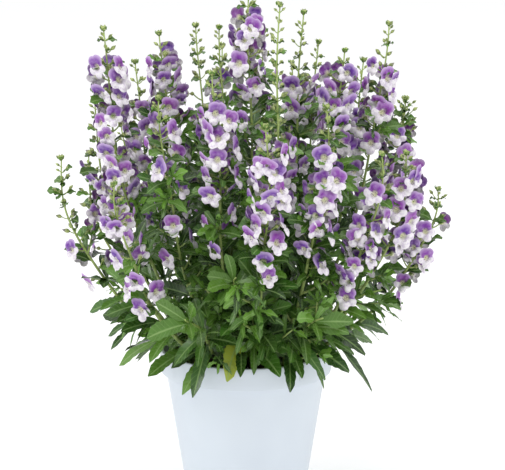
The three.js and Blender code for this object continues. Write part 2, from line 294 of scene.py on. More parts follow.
@dataclass(frozen=True)
class FadedLeaf:
    """The broad yellowing leaf that lies over the rim in front, and where on its stem it is tried."""

    stem: int = 33
    places: range = range(12, 40, 2)
    turn: float = -0.45
    lean: float = 74
    length: float = 34
    sag: float = 1.0
    seed: int = 90
    young: float = 2.0
    plump: float = 2.0


@dataclass(frozen=True)
class LeafyTop:
    """How full a stem's top is: the share of its buds with a leaf, and three shares of the usual sizes."""

    share: float
    leaf: float
    step: float
    reach: float


@dataclass(frozen=True)
class Tries:
    """The sizes, the sags and the turns in degrees that an organ is tried at until it finds room."""

    sizes: tuple[float, ...] = (1,)
    sags: tuple[float, ...] = (1,)
    turns: tuple[float, ...] = (0,)

    def __iter__(self) -> Iterator[tuple[float, float, float]]:
        """Give each size, sag and turn, with the turn in radians."""
        for size, sag, turn in product(self.sizes, self.sags, self.turns):
            yield size, sag, math.radians(turn)


class Kind(Enum):
    """The two kinds of stem."""

    FLOWERING = "flowering"
    LEAFY = "leafy"


STEM_KINDS = {
    Kind.FLOWERING: StemKind(2.3, 0.95, low=(0.52, 0.2), high=(1.0, 0.6), youth=0.1, youth_power=1),
    Kind.LEAFY: StemKind(2.0, 1.1, low=(0.12, 0.4), high=(0.6, 0.85), youth=0.6, youth_power=3),
}
LEAF_HABITS = {
    Kind.FLOWERING: LeafHabit(
        step=24,
        length=(50, 33),
        lean=(72, 52),
        sag=(0.45, 0.15),
        blade=((0.34, 0.92, 0.4), (0.7, 0.84, -0.4)),
    ),
    Kind.LEAFY: LeafHabit(
        step=13,
        length=(46, 34),
        lean=(84, 34),
        sag=(0.55, 0.12),
        blade=((0.3, 0.8, 0.5), (0.56, 1, -0.6), (0.82, 0.62, 0.4)),
    ),
}
BLOOMS, FILLING, BUDS = BloomHabit(), FillingHabit(), BudHabit()
UNDERGROWTH, SIDE_SHOOTS, FADED = UndergrowthHabit(), SideShootHabit(), FadedLeaf()
LEAF_TRIES = Tries(sizes=(1, 0.8, 0.65), sags=(1, 0.5), turns=(0, 24, -24, 48, -48, 75, -75))
BLOOM_TRIES = Tries(sizes=(1, 0.75), turns=(0, 28, -28, 56, -56, 90, -90, 130))
BUD_TRIES = Tries(turns=(0, 40, -40, 90, -90))

# Each flowering stem's tip, and the shares of its length where bloom starts and ends.
FLOWERING_STEMS = (
    (-158, -18, 308, 0.5, 0.7),
    (-142, 58, 298, 0.46, 0.78),
    (-132, 18, 361, 0.44, 0.78),
    (-117, -42, 419, 0.42, 0.9),
    (-96, 52, 381, 0.46, 0.85),
    (-71, 2, 411, 0.5, 0.92),
    (-41, 46, 413, 0.52, 0.84),
    (-20, 2, 416, 0.5, 0.86),
    (4, -36, 444, 0.52, 0.94),
    (28, -84, 442, 0.4, 0.66),
    (48, 10, 428, 0.5, 0.8),
    (80, -32, 400, 0.44, 0.92),
    (119, 14, 418, 0.44, 0.87),
    (138, 60, 348, 0.42, 0.86),
    (162, -12, 280, 0.46, 0.86),
    (110, -84, 322, 0.42, 0.86),
    (66, -100, 362, 0.46, 0.9),
    (18, -132, 352, 0.48, 0.9),
    (-24, -92, 388, 0.46, 0.88),
    (-68, -76, 366, 0.46, 0.88),
    (-104, -96, 300, 0.46, 0.86),
    (104, 74, 380, 0.46, 0.82),
    (62, 58, 398, 0.5, 0.84),
    (14, 56, 408, 0.5, 0.84),
    (-24, 98, 390, 0.48, 0.82),
    (-74, 98, 365, 0.44, 0.8),
    (40, 106, 374, 0.46, 0.82),
    (84, 118, 346, 0.44, 0.8),
    (-112, 104, 318, 0.42, 0.78),
    (-46, 146, 320, 0.42, 0.78),
    (136, -40, 316, 0.46, 0.92),
)
# Where flowering stems, by their number, stand crowded with bloom, as shares of their flowering part.
CROWDED = {
    2: ((0.35, 0.8),),
    3: ((0.2, 0.48), (0.6, 1)),
    4: ((0.6, 1),),
    5: ((0.5, 1),),
    8: ((0.55, 1),),
    9: ((0.1, 0.7),),
    10: ((0.75, 1),),
    11: ((0.75, 1),),
    12: ((0.65, 1),),
    13: ((0, 0.25), (0.4, 1)),
    14: ((0.45, 0.65),),
    15: ((0.2, 0.7),),
    16: ((0.25, 0.7),),
    17: ((0.25, 1),),
    18: ((0.4, 1),),
    20: ((0.8, 1),),
    21: ((0.8, 1),),
    22: ((0.6, 1),),
    26: ((0.1, 0.55),),
    28: ((0.5, 1),),
    29: ((0.4, 1),),
    30: ((0.2, 1),),
}
# Flowering stems, by their number, whose tops hold small leaves among the buds.
LEAFY_TOPS = {
    0: LeafyTop(share=0.4, leaf=1.5, step=1.1, reach=1.2),
    1: LeafyTop(share=0.5, leaf=1.5, step=0.9, reach=1.2),
    13: LeafyTop(share=1.0, leaf=1.25, step=0.45, reach=1.9),
    14: LeafyTop(share=0.6, leaf=1.4, step=0.9, reach=1.3),
}
USUAL_TOP = LeafyTop(share=0, leaf=1, step=1, reach=1)
# Each leafy shoot's tip.
LEAFY_SHOOTS = (
    (-102, -58, 204),
    (-48, -102, 190),
    (-8, -108, 226),
    (62, -92, 188),
    (112, -46, 202),
    (118, 40, 192),
    (66, 104, 198),
    (-24, 120, 194),
    (-108, 52, 190),
)


@dataclass(frozen=True)
class PotSizes:
    """The pot's sizes."""

    height: float = 140
    rim_radius: float = 75
    rim_band: float = 20
    band_lean: float = 0.6
    foot_radius: float = 50.5
    wall: float = 1.5
    taper: float = 0.16
    floor: float = 3
    holes: int = 5
    hole_ring: float = 30
    hole_radius: float = 5
    sides: int = 128

    def outer_at(self, z: float) -> float:
        """Return the outer radius of the body at a height."""
        return self.foot_radius + self.taper * z

    @property
    def band_low(self) -> float:
        """Return the height of the rim band's lower edge."""
        return self.height - self.rim_band

    def inner_at(self, z: float) -> float:
        """Find how wide the pot is inside.

        Args:
            z: The height.

        Returns:
            The inner radius there.
        """
        low = self.outer_at(min(z, self.band_low)) - self.wall
        if z < self.band_low:
            return low
        return lerp(low, self.rim_radius - 2 * self.wall, (z - self.band_low) / self.rim_band)


POT = PotSizes()
SOIL_TOP = 126
# A stem is rooted below the soil's top and leaves it at a collar. The collar of a flowering stem stands at
# a share of its tip's distance from the middle, and that of a leafy shoot on a ring.
COLLAR, ROOT_DEPTH = 1.6, 22
BASE_SHARE, SHOOT_RING = 0.27, 53
STEM_STEPS, MARKS_PER_STEP = 5, 7
# How far a stem's tip wavers, and how many waves its line has to the right and to the back.
SWAY, SWAY_RATES = 2.6, (1.9, 1.4)
# A leaf's half width and fold as shares of its length and half width, and the depth of its keel.
LEAF_HALF_WIDTH, LEAF_FOLD, LEAF_KEEL = 0.125, 0.3, 0.95
# How much an arched leaf's reach shortens with the square of its sag.
SAG_SHORTENING = 0.4
# How much nearer an organ stands to its own stem than to any other, and how clear it keeps of the pot and of
# its stem's other organs.
CELL_GAP, POT_GAP, ORGAN_GAP = 3, 2.5, 2.2
# How many points between two stations of a leaf are tested for room: of the part's leaves, and of the others.
LINE_STEPS, FURTHER_LINE_STEPS = 5, 4
# Degrees round the throat, millimetres from it, and how far forward the bloom's edge stands.
BLOOM_OUTLINE = (
    (14, 6, 0.6),
    (52, 11.6, 2.8),
    (90, 7.6, 1.2),
    (128, 11.6, 2.8),
    (166, 6, 0.6),
    (200, 11.4, 2.4),
    (232, 5.6, 0.8),
    (256, 11.8, 3),
    (284, 11.8, 3),
    (308, 5.6, 0.8),
    (340, 11.4, 2.4),
)


@dataclass
class Leaf:
    """Where a leaf grows, and how it arches."""

    point: Array
    heading: Array
    across: Array
    length: float
    sag: float
    seed: int = 0
    age: float = 0.0
    young: float = 0.0
    plump: float = 1.0

    @property
    def span(self) -> float:
        """Return the leaf's reach along its heading."""
        return self.length / (1 + SAG_SHORTENING * self.sag**2)

    def midrib(self, share: float) -> Array:
        """Return the midrib's point at a share of the leaf's length."""
        fall = UP * self.span * self.sag * share**2
        return self.point + self.heading * self.span * share - fall

    def lines(self, blade: Iterable[tuple[float, float, float]]) -> list[list[Array]]:
        """Follow the blade's two edges and its keel.

        Args:
            blade: The blade's stations, as a leaf habit gives them.

        Returns:
            The points of each line, from the leaf's foot to its tip.
        """
        lines: list[list[Array]] = [[self.point] for _ in range(3)]
        for share, width, wave in blade:
            centre = self.midrib(share)
            half = self.length * LEAF_HALF_WIDTH * width
            for line, side in zip(lines, (1, -1)):
                line.append(centre + self.across * side * half + UP * (half * LEAF_FOLD + side * wave))
            lines[2].append(centre - UP * LEAF_KEEL)
        return [line + [self.midrib(1)] for line in lines]


@dataclass
class Bloom:
    """Where a bloom grows, and which way it faces."""

    point: Array
    calyx: Array
    facing: Array
    right: Array
    top: Array
    seed: int
    age: float

    @property
    def centre(self) -> Array:
        """Return the middle of the throat."""
        return self.calyx + self.facing * BLOOMS.tube

    def turn_aside(self, draws: Draws) -> None:
        """Turn the bloom a little its own way, as blooms on one spike do.

        Args:
            draws: The draws for its own differences.
        """
        aside, nod, roll = (
            math.radians(draws.either_way(most)) for most in (BLOOMS.aside, BLOOMS.nod, BLOOMS.roll)
        )
        facing = unit(self.facing + self.right * math.tan(aside) + self.top * math.tan(nod))
        right = unit(np.cross(facing, np.cross(self.right, facing)))
        self.facing = facing
        self.right = toward(right, np.cross(facing, right), roll)
        self.top = np.cross(self.right, facing)

    def outline(self) -> list[Array]:
        """Follow the bloom's edge.

        Returns:
            The points of the edge.
        """
        points = []
        for degrees, radius, forward in BLOOM_OUTLINE:
            angle = math.radians(degrees)
            flat = self.right * radius * math.cos(angle) + self.top * radius * math.sin(angle)
            points.append(self.centre + flat + self.facing * forward)
        return points


@dataclass
class Bud:
    """Where a bud grows, and its size."""

    point: Array
    heading: Array
    across: Array
    reach: float
    radius: float
    seed: int
    age: float

    def outline(self) -> list[Array]:
        """Mark out the bud.

        Returns:
            The points round its belly, and its tip.
        """
        upward = np.cross(self.across, self.heading)
        belly = self.point + self.heading * (self.reach - self.radius)
        ring = [belly + self.radius * toward(self.across, upward, turn) for turn in even_turns(3)]
        return ring + [self.point + self.heading * (self.reach + self.radius)]


def leaf_from(
    point: Array, along: Array, outward: Array, lean: float, length: float, sag: float, **traits: float
) -> Leaf:
    """Return a leaf that leans outward from an axis, in radians, with traits such as its seed and its age."""
    heading = unit(toward(along, outward, lean))
    return Leaf(point, heading, unit(np.cross(heading, along)), length, sag, **traits)


@dataclass
class SideShoot:
    """A short shoot in a leaf's axil: the points of its line, and its leaves."""

    line: Array
    leaves: list[Leaf]


def spread_along(lines: Iterable[list[Array]], steps: int) -> list[Array]:
    """Spread points evenly along lines.

    Args:
        lines: The corners of each line.
        steps: How many points each stretch between two corners has.

    Returns:
        The points.
    """
    points = []
    for line in lines:
        for low, high in zip(line, line[1:]):
            points += [low + (high - low) * k / steps for k in range(1, steps + 1)]
    return points


@dataclass
class Stem:
    """One stem's line, which rises straight out of the soil and then leans out to its tip."""

    number: int
    kind: Kind
    tip: Array
    bloom_from: float = 1.0
    bloom_to: float = 1.0
    sizes: StemKind = field(init=False)
    collar: Array = field(init=False)
    sideways: Array = field(init=False)
    axis: Array = field(init=False)
    marks: Array = field(init=False)
    steps: Array = field(init=False)
    length: float = field(init=False)
    leaves: list[Leaf] = field(default_factory=list)
    blooms: list[Bloom] = field(default_factory=list)
    buds: list[Bud] = field(default_factory=list)
    grown: list[Array] = field(default_factory=list)
    side_shoots: list[SideShoot] = field(default_factory=list)

    def __post_init__(self) -> None:
        """Work out the stem's curve."""
        self.sizes = STEM_KINDS[self.kind]
        x, y, _ = self.tip
        share = BASE_SHARE if self.kind is Kind.FLOWERING else SHOOT_RING / math.hypot(x, y)
        self.collar = np.array([x * share, y * share, SOIL_TOP + COLLAR])
        self.sideways = unit(np.array([-y, x, 0.0]))
        root = np.array([*self.collar[:2], SOIL_TOP - ROOT_DEPTH])
        self.axis = np.array([root] + [self.curve(i / STEM_STEPS) for i in range(STEM_STEPS + 1)])
        marks = [
            low + (high - low) * k / MARKS_PER_STEP
            for low, high in zip(self.axis, self.axis[1:])
            for k in range(MARKS_PER_STEP)
        ]
        self.marks = np.array(marks + [self.axis[-1]])
        self.steps = np.linalg.norm(np.diff(self.axis[1:], axis=0), axis=1)
        self.length = float(self.steps.sum())

    @property
    def bloom_low(self) -> float:
        """Return how far along the stem its bloom starts, or its tip where it has none."""
        return self.length * self.bloom_from

    @property
    def bloom_high(self) -> float:
        """Return how far along the stem its bloom ends and its buds start."""
        return self.length * self.bloom_to

    def curve(self, t: float) -> Array:
        """Follow the curve above the soil.

        Args:
            t: The share of the curve, from the collar to the tip.

        Returns:
            The point there.
        """
        reach = self.tip - self.collar
        low, high = (
            self.collar + reach * np.array([out, out, up]) for out, up in (self.sizes.low, self.sizes.high)
        )
        s = 1 - t
        return s**3 * self.collar + 3 * s * s * t * low + 3 * s * t * t * high + t**3 * self.tip

    def place(self, distance: float) -> tuple[Array, Array, Array]:
        """Find a place on the stem.

        Args:
            distance: Millimetres along the stem from where it leaves the soil.

        Returns:
            The point, the stem's direction there, and the direction out from the plant's middle.
        """
        i, left = 0, distance
        while i < len(self.steps) - 1 and left > self.steps[i]:
            left -= self.steps[i]
            i += 1
        along = unit(self.axis[i + 2] - self.axis[i + 1])
        return self.axis[i + 1] + along * left, along, np.cross(self.sideways, along)

    def radius_at(self, share: float) -> float:
        """Return the stem's radius at a share of its length."""
        return lerp(self.sizes.foot_radius, self.sizes.tip_radius, share)

    def sway(self, share: float) -> Array:
        """Find how far the stem wavers from its line.

        Args:
            share: The share of its length.

        Returns:
            The shift of its axis there, in millimetres.
        """
        draws = Draws(Topic.SWAY, self.number)
        turns = [draws.between(0, FULL_TURN) for _ in SWAY_RATES]
        waves = [math.sin(turn + share * FULL_TURN * rate) for turn, rate in zip(turns, SWAY_RATES)]
        return np.array([*waves, 0.0]) * SWAY * share

    def leaf(self, distance: float, turn: float, lean: float, length: float, sag: float, seed: int) -> Leaf:
        """Place a leaf on the stem.

        Args:
            distance: Millimetres along the stem.
            turn: Radians round the stem.
            lean: Radians from the stem.
            length: The leaf's length.
            sag: How far it arches down.
            seed: The whole number that tells it from the stem's other leaves.

        Returns:
            The leaf.
        """
        point, along, out = self.place(distance)
        age = distance / self.length
        young = self.sizes.youth * age**self.sizes.youth_power
        outward = toward(out, self.sideways, turn)
        return leaf_from(point, along, outward, lean, length, sag, seed=seed, age=age, young=young)

    def bloom(self, distance: float, turn: float, tilt: float, roll: float, stalk: float, seed: int) -> Bloom:
        """Place a bloom on the stem.

        Args:
            distance: Millimetres along the stem.
            turn: Radians round the stem.
            tilt: How far it faces upwards, in radians.
            roll: How far it is turned about the way it faces, in radians.
            stalk: The length of its stalk.
            seed: The whole number that tells it from the stem's other blooms.

        Returns:
            The bloom.
        """
        point, along, out = self.place(distance)
        outward = toward(out, self.sideways, turn)
        rise = toward(along, outward, math.radians(BLOOMS.stalk_lean))
        facing = toward(unit(outward * LEVEL), UP, tilt)
        flat = unit(np.cross(facing, UP))
        right = toward(flat, np.cross(facing, flat), roll)
        top = np.cross(right, facing)
        return Bloom(point, point + rise * stalk, facing, right, top, seed, distance / self.length)

    def bud(self, distance: float, turn: float, reach: float, radius: float, seed: int, age: float) -> Bud:
        """Place a bud on the stem.

        Args:
            distance: Millimetres along the stem.
            turn: Radians round the stem.
            reach: How far the bud's middle stands from the stem.
            radius: The bud's radius.
            seed: The whole number that tells it from the stem's other buds.
            age: How high it stands above the blooms, from 0 to 1.

        Returns:
            The bud.
        """
        point, along, out = self.place(distance)
        heading = toward(along, toward(out, self.sideways, turn), math.radians(BUDS.lean))
        return Bud(point, heading, unit(np.cross(heading, along)), reach, radius, seed, age)


class Plant:
    """Where everything grows. An organ keeps to its own stem's cell of space, and clear of the pot."""

    def __init__(self) -> None:
        """Grow every stem's leaves, blooms and buds."""
        self.stems = [
            Stem(i, Kind.FLOWERING, np.array([x, y, z], float), low, high)
            for i, (x, y, z, low, high) in enumerate(FLOWERING_STEMS)
        ]
        for i, tip in enumerate(LEAFY_SHOOTS):
            self.stems.append(Stem(len(FLOWERING_STEMS) + i, Kind.LEAFY, np.array(tip, float)))
        self.marks = np.array([stem.marks for stem in self.stems])
        for stem in self.stems:
            self.grow_leaves(stem)
            if stem.kind is Kind.FLOWERING:
                self.grow_blooms(stem)
                self.grow_buds(stem)
        self.grow_faded_leaf()
        for stem in self.stems:
            self.thicken(stem)
            if stem.kind is Kind.FLOWERING:
                self.fill_spike(stem)

    def in_own_cell(self, points: Array, stem: Stem) -> bool:
        """Test an organ's points against the other stems.

        Args:
            points: The points.
            stem: The stem that the organ grows from.

        Returns:
            True where each point is nearer to its own stem than to any other.
        """
        apart = points[:, None, None, :] - self.marks[None]
        nearest = np.sqrt((apart**2).sum(axis=3).min(axis=2))
        own = nearest[:, stem.number] + CELL_GAP
        others = np.delete(nearest, stem.number, axis=1).min(axis=1)
        return bool((others > own).all())

    @staticmethod
    def clear_of_pot(points: Array) -> bool:
        """Test an organ's points against the pot.

        Args:
            points: The points.

        Returns:
            True where each point is clear of the pot's wall and of the soil.
        """
        radius, z = np.hypot(points[:, 0], points[:, 1]), points[:, 2]
        inside = radius < POT.rim_radius - 2 * POT_GAP
        over_wall = (z > POT.height + POT_GAP) | (radius > POT.rim_radius + POT_GAP)
        return bool(np.where(inside, z > SOIL_TOP + 2 * POT_GAP, over_wall).all())

    def clear_of_stems(self, point: Array, stem: Stem, gap: float) -> bool:
        """Return whether a point keeps a gap, in millimetres, from every stem but its own."""
        apart = np.sqrt(((self.marks - point) ** 2).sum(axis=2).min(axis=1))
        return bool((np.delete(apart, stem.number) > gap).all())

    def fits(self, stem: Stem, outer: list[Array], tested: list[Array], free: list[Array]) -> bool:
        """Test an organ's place, and note what it takes up.

        Args:
            stem: The stem that it grows from.
            outer: Points that stay clear of the pot.
            tested: Points that stay in the stem's own cell.
            free: Points that stay clear of what already grows from the stem.

        Returns:
            True where the organ fits.
        """
        if not self.clear_of_pot(np.array(outer)) or not self.in_own_cell(np.array(tested), stem):
            return False
        if stem.grown:
            apart = np.array(free)[:, None, :] - np.array(stem.grown)[None]
            if (apart**2).sum(axis=2).min() <= ORGAN_GAP**2:
                return False
        stem.grown += free
        return True

    def grow_leaves(self, stem: Stem) -> None:
        """Grow a stem's leaves, in pairs a quarter turn apart.

        Args:
            stem: The stem.
        """
        habit = LEAF_HABITS[stem.kind]
        end = stem.length - habit.tip_gap if stem.kind is Kind.LEAFY else stem.bloom_low
        node, distance = 0, habit.first
        while distance < end:
            high = (distance - habit.first) / (end - habit.first)
            for side in range(2):
                draws = Draws(Topic.LEAF, stem.number, node, side)
                length = lerp(*habit.length, high) * draws.between(*habit.length_range)
                turn = math.radians(90 * node + 180 * side + 45 + draws.either_way(habit.turn_range))
                lean = math.radians(lerp(*habit.lean, high) + draws.either_way(habit.lean_range))
                sag = lerp(*habit.sag, high) * draws.between(*habit.sag_range)
                seed = node * 2 + side
                for size, drop, swing in LEAF_TRIES:
                    lean_now = lean * (0.5 + drop / 2)
                    leaf = stem.leaf(distance, turn + swing, lean_now, length * size, sag * drop, seed)
                    lines = leaf.lines(habit.blade)
                    blade = [line[1:] for line in lines]
                    tested = [point for line in blade for point in line]
                    free = spread_along(blade, LINE_STEPS)
                    if self.fits(stem, spread_along(lines, LINE_STEPS), tested, free):
                        stem.leaves.append(leaf)
                        break
            node += 1
            distance += habit.step

    def grow_blooms(self, stem: Stem) -> None:
        """Grow a stem's blooms, a golden turn apart.

        Args:
            stem: The stem.
        """
        slot, distance = 0, stem.bloom_low
        while distance < stem.bloom_high:
            draws = Draws(Topic.BLOOM, stem.number, slot)
            turn = math.radians(GOLDEN_TURN * slot + draws.either_way(BLOOMS.turn_range))
            tilt = math.radians(draws.between(*BLOOMS.tilt_range))
            roll = math.radians(draws.either_way(BLOOMS.roll_range))
            stalk = BLOOMS.stalk * draws.between(*BLOOMS.stalk_range)
            for size, _, swing in BLOOM_TRIES:
                bloom = stem.bloom(distance, turn + swing, tilt, roll, stalk * size, slot)
                outline = bloom.outline()
                tested = outline + [bloom.centre]
                if self.fits(stem, outline, tested, tested):
                    stem.blooms.append(bloom)
                    break
            slot += 1
            distance += BLOOMS.step

    def grow_buds(self, stem: Stem) -> None:
        """Grow a stem's buds, a golden turn apart, up to its tip.

        Args:
            stem: The stem.
        """
        low = stem.bloom_high
        slot, distance = 0, low
        while distance < stem.length - BUDS.tip_gap:
            draws = Draws(Topic.BUD, stem.number, slot)
            young = (distance - low) / (stem.length - low)
            turn = math.radians(GOLDEN_TURN * slot + draws.either_way(BUDS.turn_range))
            reach = BUDS.reach * (1 - BUDS.reach_loss * young) * draws.between(*BUDS.reach_range)
            radius = BUDS.radius * (1 - BUDS.radius_loss * young)
            for _, _, swing in BUD_TRIES:
                bud = stem.bud(distance, turn + swing, reach, radius, slot, young)
                outline = bud.outline()
                if self.fits(stem, outline, outline, outline):
                    stem.buds.append(bud)
                    break
            slot += 1
            distance += BUDS.step

    def fill_spike(self, stem: Stem) -> None:
        """Grow the blooms that close up a crowded spike, between those that are there.

        Args:
            stem: The stem.
        """
        low, high = stem.bloom_low, stem.bloom_high
        slot, distance = 0, low + BLOOMS.step / 2
        while distance < high + FILLING.past_end:
            draws = Draws(Topic.FILLING_BLOOM, stem.number, slot)
            share = (distance - low) / (high - low)
            stretches = CROWDED.get(stem.number, ())
            crowded = any(first <= share <= last + FILLING.past_share for first, last in stretches)
            for attempt in range(FILLING.tries if crowded else 0):
                aside = GOLDEN_TURN * (slot + 0.5) + FILLING.try_turn * attempt
                turn = math.radians(aside + draws.either_way(FILLING.turn_range))
                tilt = math.radians(draws.between(*FILLING.tilt_range))
                roll = math.radians(draws.either_way(FILLING.roll_range))
                stalk = BLOOMS.stalk * draws.between(*FILLING.stalk_range)
                bloom = stem.bloom(distance, turn, tilt, roll, stalk, FILLING.first_seed + slot)
                middle = bloom.centre
                centres = np.array([other.centre for other in stem.blooms] or [[0, 0, 0]])
                apart = np.linalg.norm(centres - middle, axis=1).min()
                if apart > FILLING.from_blooms and self.clear_of_stems(middle, stem, FILLING.from_stems):
                    stem.blooms.append(bloom)
                    break
            slot += 1
            distance += BLOOMS.step / 2

    def add_if_clear(self, leaves: list[Leaf], leaf: Leaf) -> bool:
        """Keep a leaf where it is clear of the pot's wall and of the soil.

        Args:
            leaves: The leaves that it joins.
            leaf: The leaf.

        Returns:
            True where the leaf is kept.
        """
        blade = [line[1:] for line in leaf.lines(LEAF_HABITS[Kind.LEAFY].blade)]
        clear = self.clear_of_pot(np.array(spread_along(blade, FURTHER_LINE_STEPS)))
        if clear:
            leaves.append(leaf)
        return clear

    def grow_faded_leaf(self) -> None:
        """Grow the yellowing leaf at the first place on its stem where it lies clear."""
        form = FADED
        stem = self.stems[form.stem]
        for distance in form.places:
            leaf = stem.leaf(distance, form.turn, math.radians(form.lean), form.length, form.sag, form.seed)
            leaf.young, leaf.plump = form.young, form.plump
            if self.add_if_clear(stem.leaves, leaf):
                return

    def thicken(self, stem: Stem) -> None:
        """Grow the side shoots and the further leaves that make the plant's lower half dense.

        Args:
            stem: The stem.
        """
        habit = UNDERGROWTH
        flowering = stem.kind is Kind.FLOWERING
        further = -habit.below_tip
        if flowering:
            bare = CROWDED.get(stem.number, ((habit.usual_bare, 1),))[0][0]
            further = habit.past_bloom + bare * (stem.bloom_to - stem.bloom_from) * stem.length
        side_bare = habit.bare_left if stem.tip[0] < 0 else habit.bare_right
        node, distance = 0, habit.first
        while distance < stem.bloom_low + further:
            high = min(distance / stem.bloom_low, 1.0)
            for side in range(2):
                draws = Draws(Topic.UNDERGROWTH, stem.number, node, side)
                if abs(stem.tip[0]) > habit.outer_tip and draws.chance(side_bare):
                    continue
                turn = math.radians(90 * node + 180 * side + draws.either_way(habit.turn_range))
                shoots = habit.shoots_low - habit.shoots_fall * high if flowering else habit.shoots_leafy
                if draws.chance(shoots):
                    self.grow_side_shoot(stem, distance, turn, draws, high)
                place = distance + draws.either_way(habit.place_range)
                lean = math.radians(lerp(*habit.lean, high) + draws.either_way(habit.lean_range))
                size = lerp(*habit.length, high) * draws.between(*habit.length_range)
                sag = lerp(*habit.sag, min(1, 2 * high)) * draws.between(*habit.sag_range)
                turn += math.radians(habit.leaf_aside)
                leaf = stem.leaf(place, turn, lean, size, sag, habit.first_seed + 2 * node + side)
                self.add_if_clear(stem.leaves, leaf)
            node += 1
            distance += habit.step

    def grow_side_shoot(self, stem: Stem, distance: float, turn: float, draws: Draws, high: float) -> None:
        """Grow a short shoot in a leaf's axil, with a rosette of young leaves at its tip.

        Args:
            stem: The stem that it grows from.
            distance: Millimetres along the stem.
            turn: Radians round the stem.
            draws: The draws for its own differences.
            high: How high it stands in the leafy part of the stem, from 0 to 1.
        """
        habit = SIDE_SHOOTS
        point, along, out = stem.place(distance)
        outward = toward(out, stem.sideways, turn)
        heading = toward(along, outward, math.radians(draws.between(*habit.lean_range)))
        length = lerp(*habit.length, high) * draws.between(*habit.length_range)
        shares = np.linspace(0, 1, habit.points)
        rise = habit.rise * length
        line = point + heading * length * shares[:, None] + UP * (rise * shares**2)[:, None]
        if not self.clear_of_pot(line[2:]):
            return
        side = unit(np.cross(heading, UP))
        upward = unit(np.cross(side, heading))
        leaves: list[Leaf] = []
        for pair, share in enumerate(habit.pair_shares):
            foot = line[0] + (line[-1] - line[0]) * share + UP * (rise * (share**2 - share))
            for way in (1, -1):
                outward = (upward if pair else side) * way
                size = lerp(*habit.leaf, high) * draws.between(*habit.leaf_range)
                size *= 1 - habit.pair_loss * pair
                lean = math.radians(draws.between(*habit.leaf_lean))
                sag = draws.between(*habit.leaf_sag)
                young = draws.between(*habit.leaf_youth)
                seed = pair * 2 + way + 1
                leaf = leaf_from(foot, heading, outward, lean, size, sag, seed=seed, young=young)
                self.add_if_clear(leaves, leaf)
        first = draws.between(0, FULL_TURN)
        for k, around in enumerate(first + even_turns(habit.rosette)):
            outward = toward(side, upward, around)
            lean = math.radians(draws.between(*habit.rosette_lean))
            size = draws.between(*habit.rosette_leaf)
            young = draws.between(*habit.rosette_youth)
            sag, seed = habit.rosette_sag, habit.rosette_seed + k
            leaf = leaf_from(line[-1], heading, outward, lean, size, sag, seed=seed, young=young)
            self.add_if_clear(leaves, leaf)
        stem.side_shoots.append(SideShoot(line, leaves))


class Part(Enum):
    """The finishes that the faces of a stem's piece can take."""

    STEM = 0
    LEAF = 1
    BUD = 2
    PETAL = 3


def new_object(name: str, data: bpy.types.ID) -> bpy.types.Object:
    """Put a new object in the scene.

    Args:
        name: Its name.
        data: The mesh, the lamp or the camera that it is made of.

    Returns:
        The object.
    """
    thing = bpy.data.objects.new(name, data)
    bpy.context.scene.collection.objects.link(thing)
    return thing


class MeshMaker:
    """Gathers grids of points into one mesh, with a few marks on each point for the finishes to read."""

    MARKS = ("along", "across", "tint", "tone")

    def __init__(self) -> None:
        """Start with no faces."""
        self.points: list[Array] = []
        self.faces: list[tuple[int, ...]] = []
        self.parts: list[int] = []
        self.marks: list[Array] = []
        self.count = 0

    def add_grid(
        self,
        grid: Array,
        part: Part = Part.STEM,
        wrap: bool = False,
        closed: bool = False,
        **marks: float | Array,
    ) -> None:
        """Add a sheet or a tube.

        Args:
            grid: Points in millimetres, rows by columns by 3.
            part: The finish of its faces.
            wrap: Whether the last column joins the first.
            closed: Whether a face closes the first row, and another the last.
            marks: Its marks by name, each one value or a row or column of them. Those left out are nought.
        """
        rows, columns = grid.shape[:2]
        index = self.count + np.arange(rows * columns).reshape(rows, columns)
        beside = np.roll(index, -1, axis=1) if wrap else index[:, 1:]
        here = index if wrap else index[:, :-1]
        quads = np.stack([here[:-1], beside[:-1], beside[1:], here[1:]], axis=-1).reshape(-1, 4)
        faces = list(map(tuple, quads.tolist()))
        if closed:
            faces += [tuple(index[0][::-1].tolist()), tuple(index[-1].tolist())]
        values = [np.broadcast_to(marks.get(name, 0.0), (rows, columns)) for name in self.MARKS]
        self.faces += faces
        self.parts += [part.value] * len(faces)
        self.points.append(grid.reshape(-1, 3))
        self.marks.append(np.stack(values, axis=-1).reshape(-1, len(self.MARKS)))
        self.count += rows * columns

    def finished(self, name: str, finishes: list[bpy.types.Material]) -> bpy.types.Object:
        """Make the piece.

        Args:
            name: The piece's name.
            finishes: One material for each value of Part that its faces use.

        Returns:
            The new object, in metres.
        """
        mesh = bpy.data.meshes.new(name)
        mesh.from_pydata(np.concatenate(self.points) * MM, [], self.faces)
        marks = np.concatenate(self.marks)
        for column, mark in enumerate(self.MARKS):
            layer = mesh.attributes.new(mark, "FLOAT", "POINT")
            layer.data.foreach_set("value", marks[:, column].astype(np.float32))
        for finish in finishes:
            mesh.materials.append(finish)
        mesh.polygons.foreach_set("material_index", self.parts)
        mesh.polygons.foreach_set("use_smooth", [True] * len(self.faces))
        mesh.update()
        return new_object(name, mesh)


def lathe(outline: Iterable[Pair], sides: int) -> Array:
    """Turn an outline about the upright axis.

    Args:
        outline: The radius and the height of each ring.
        sides: How many points each ring has.

    Returns:
        The points, rings by sides by 3.
    """
    turns = even_turns(sides)
    level = np.ones(sides)
    return np.array([
        np.stack([radius * np.cos(turns), radius * np.sin(turns), z * level], axis=1) for radius, z in outline
    ])


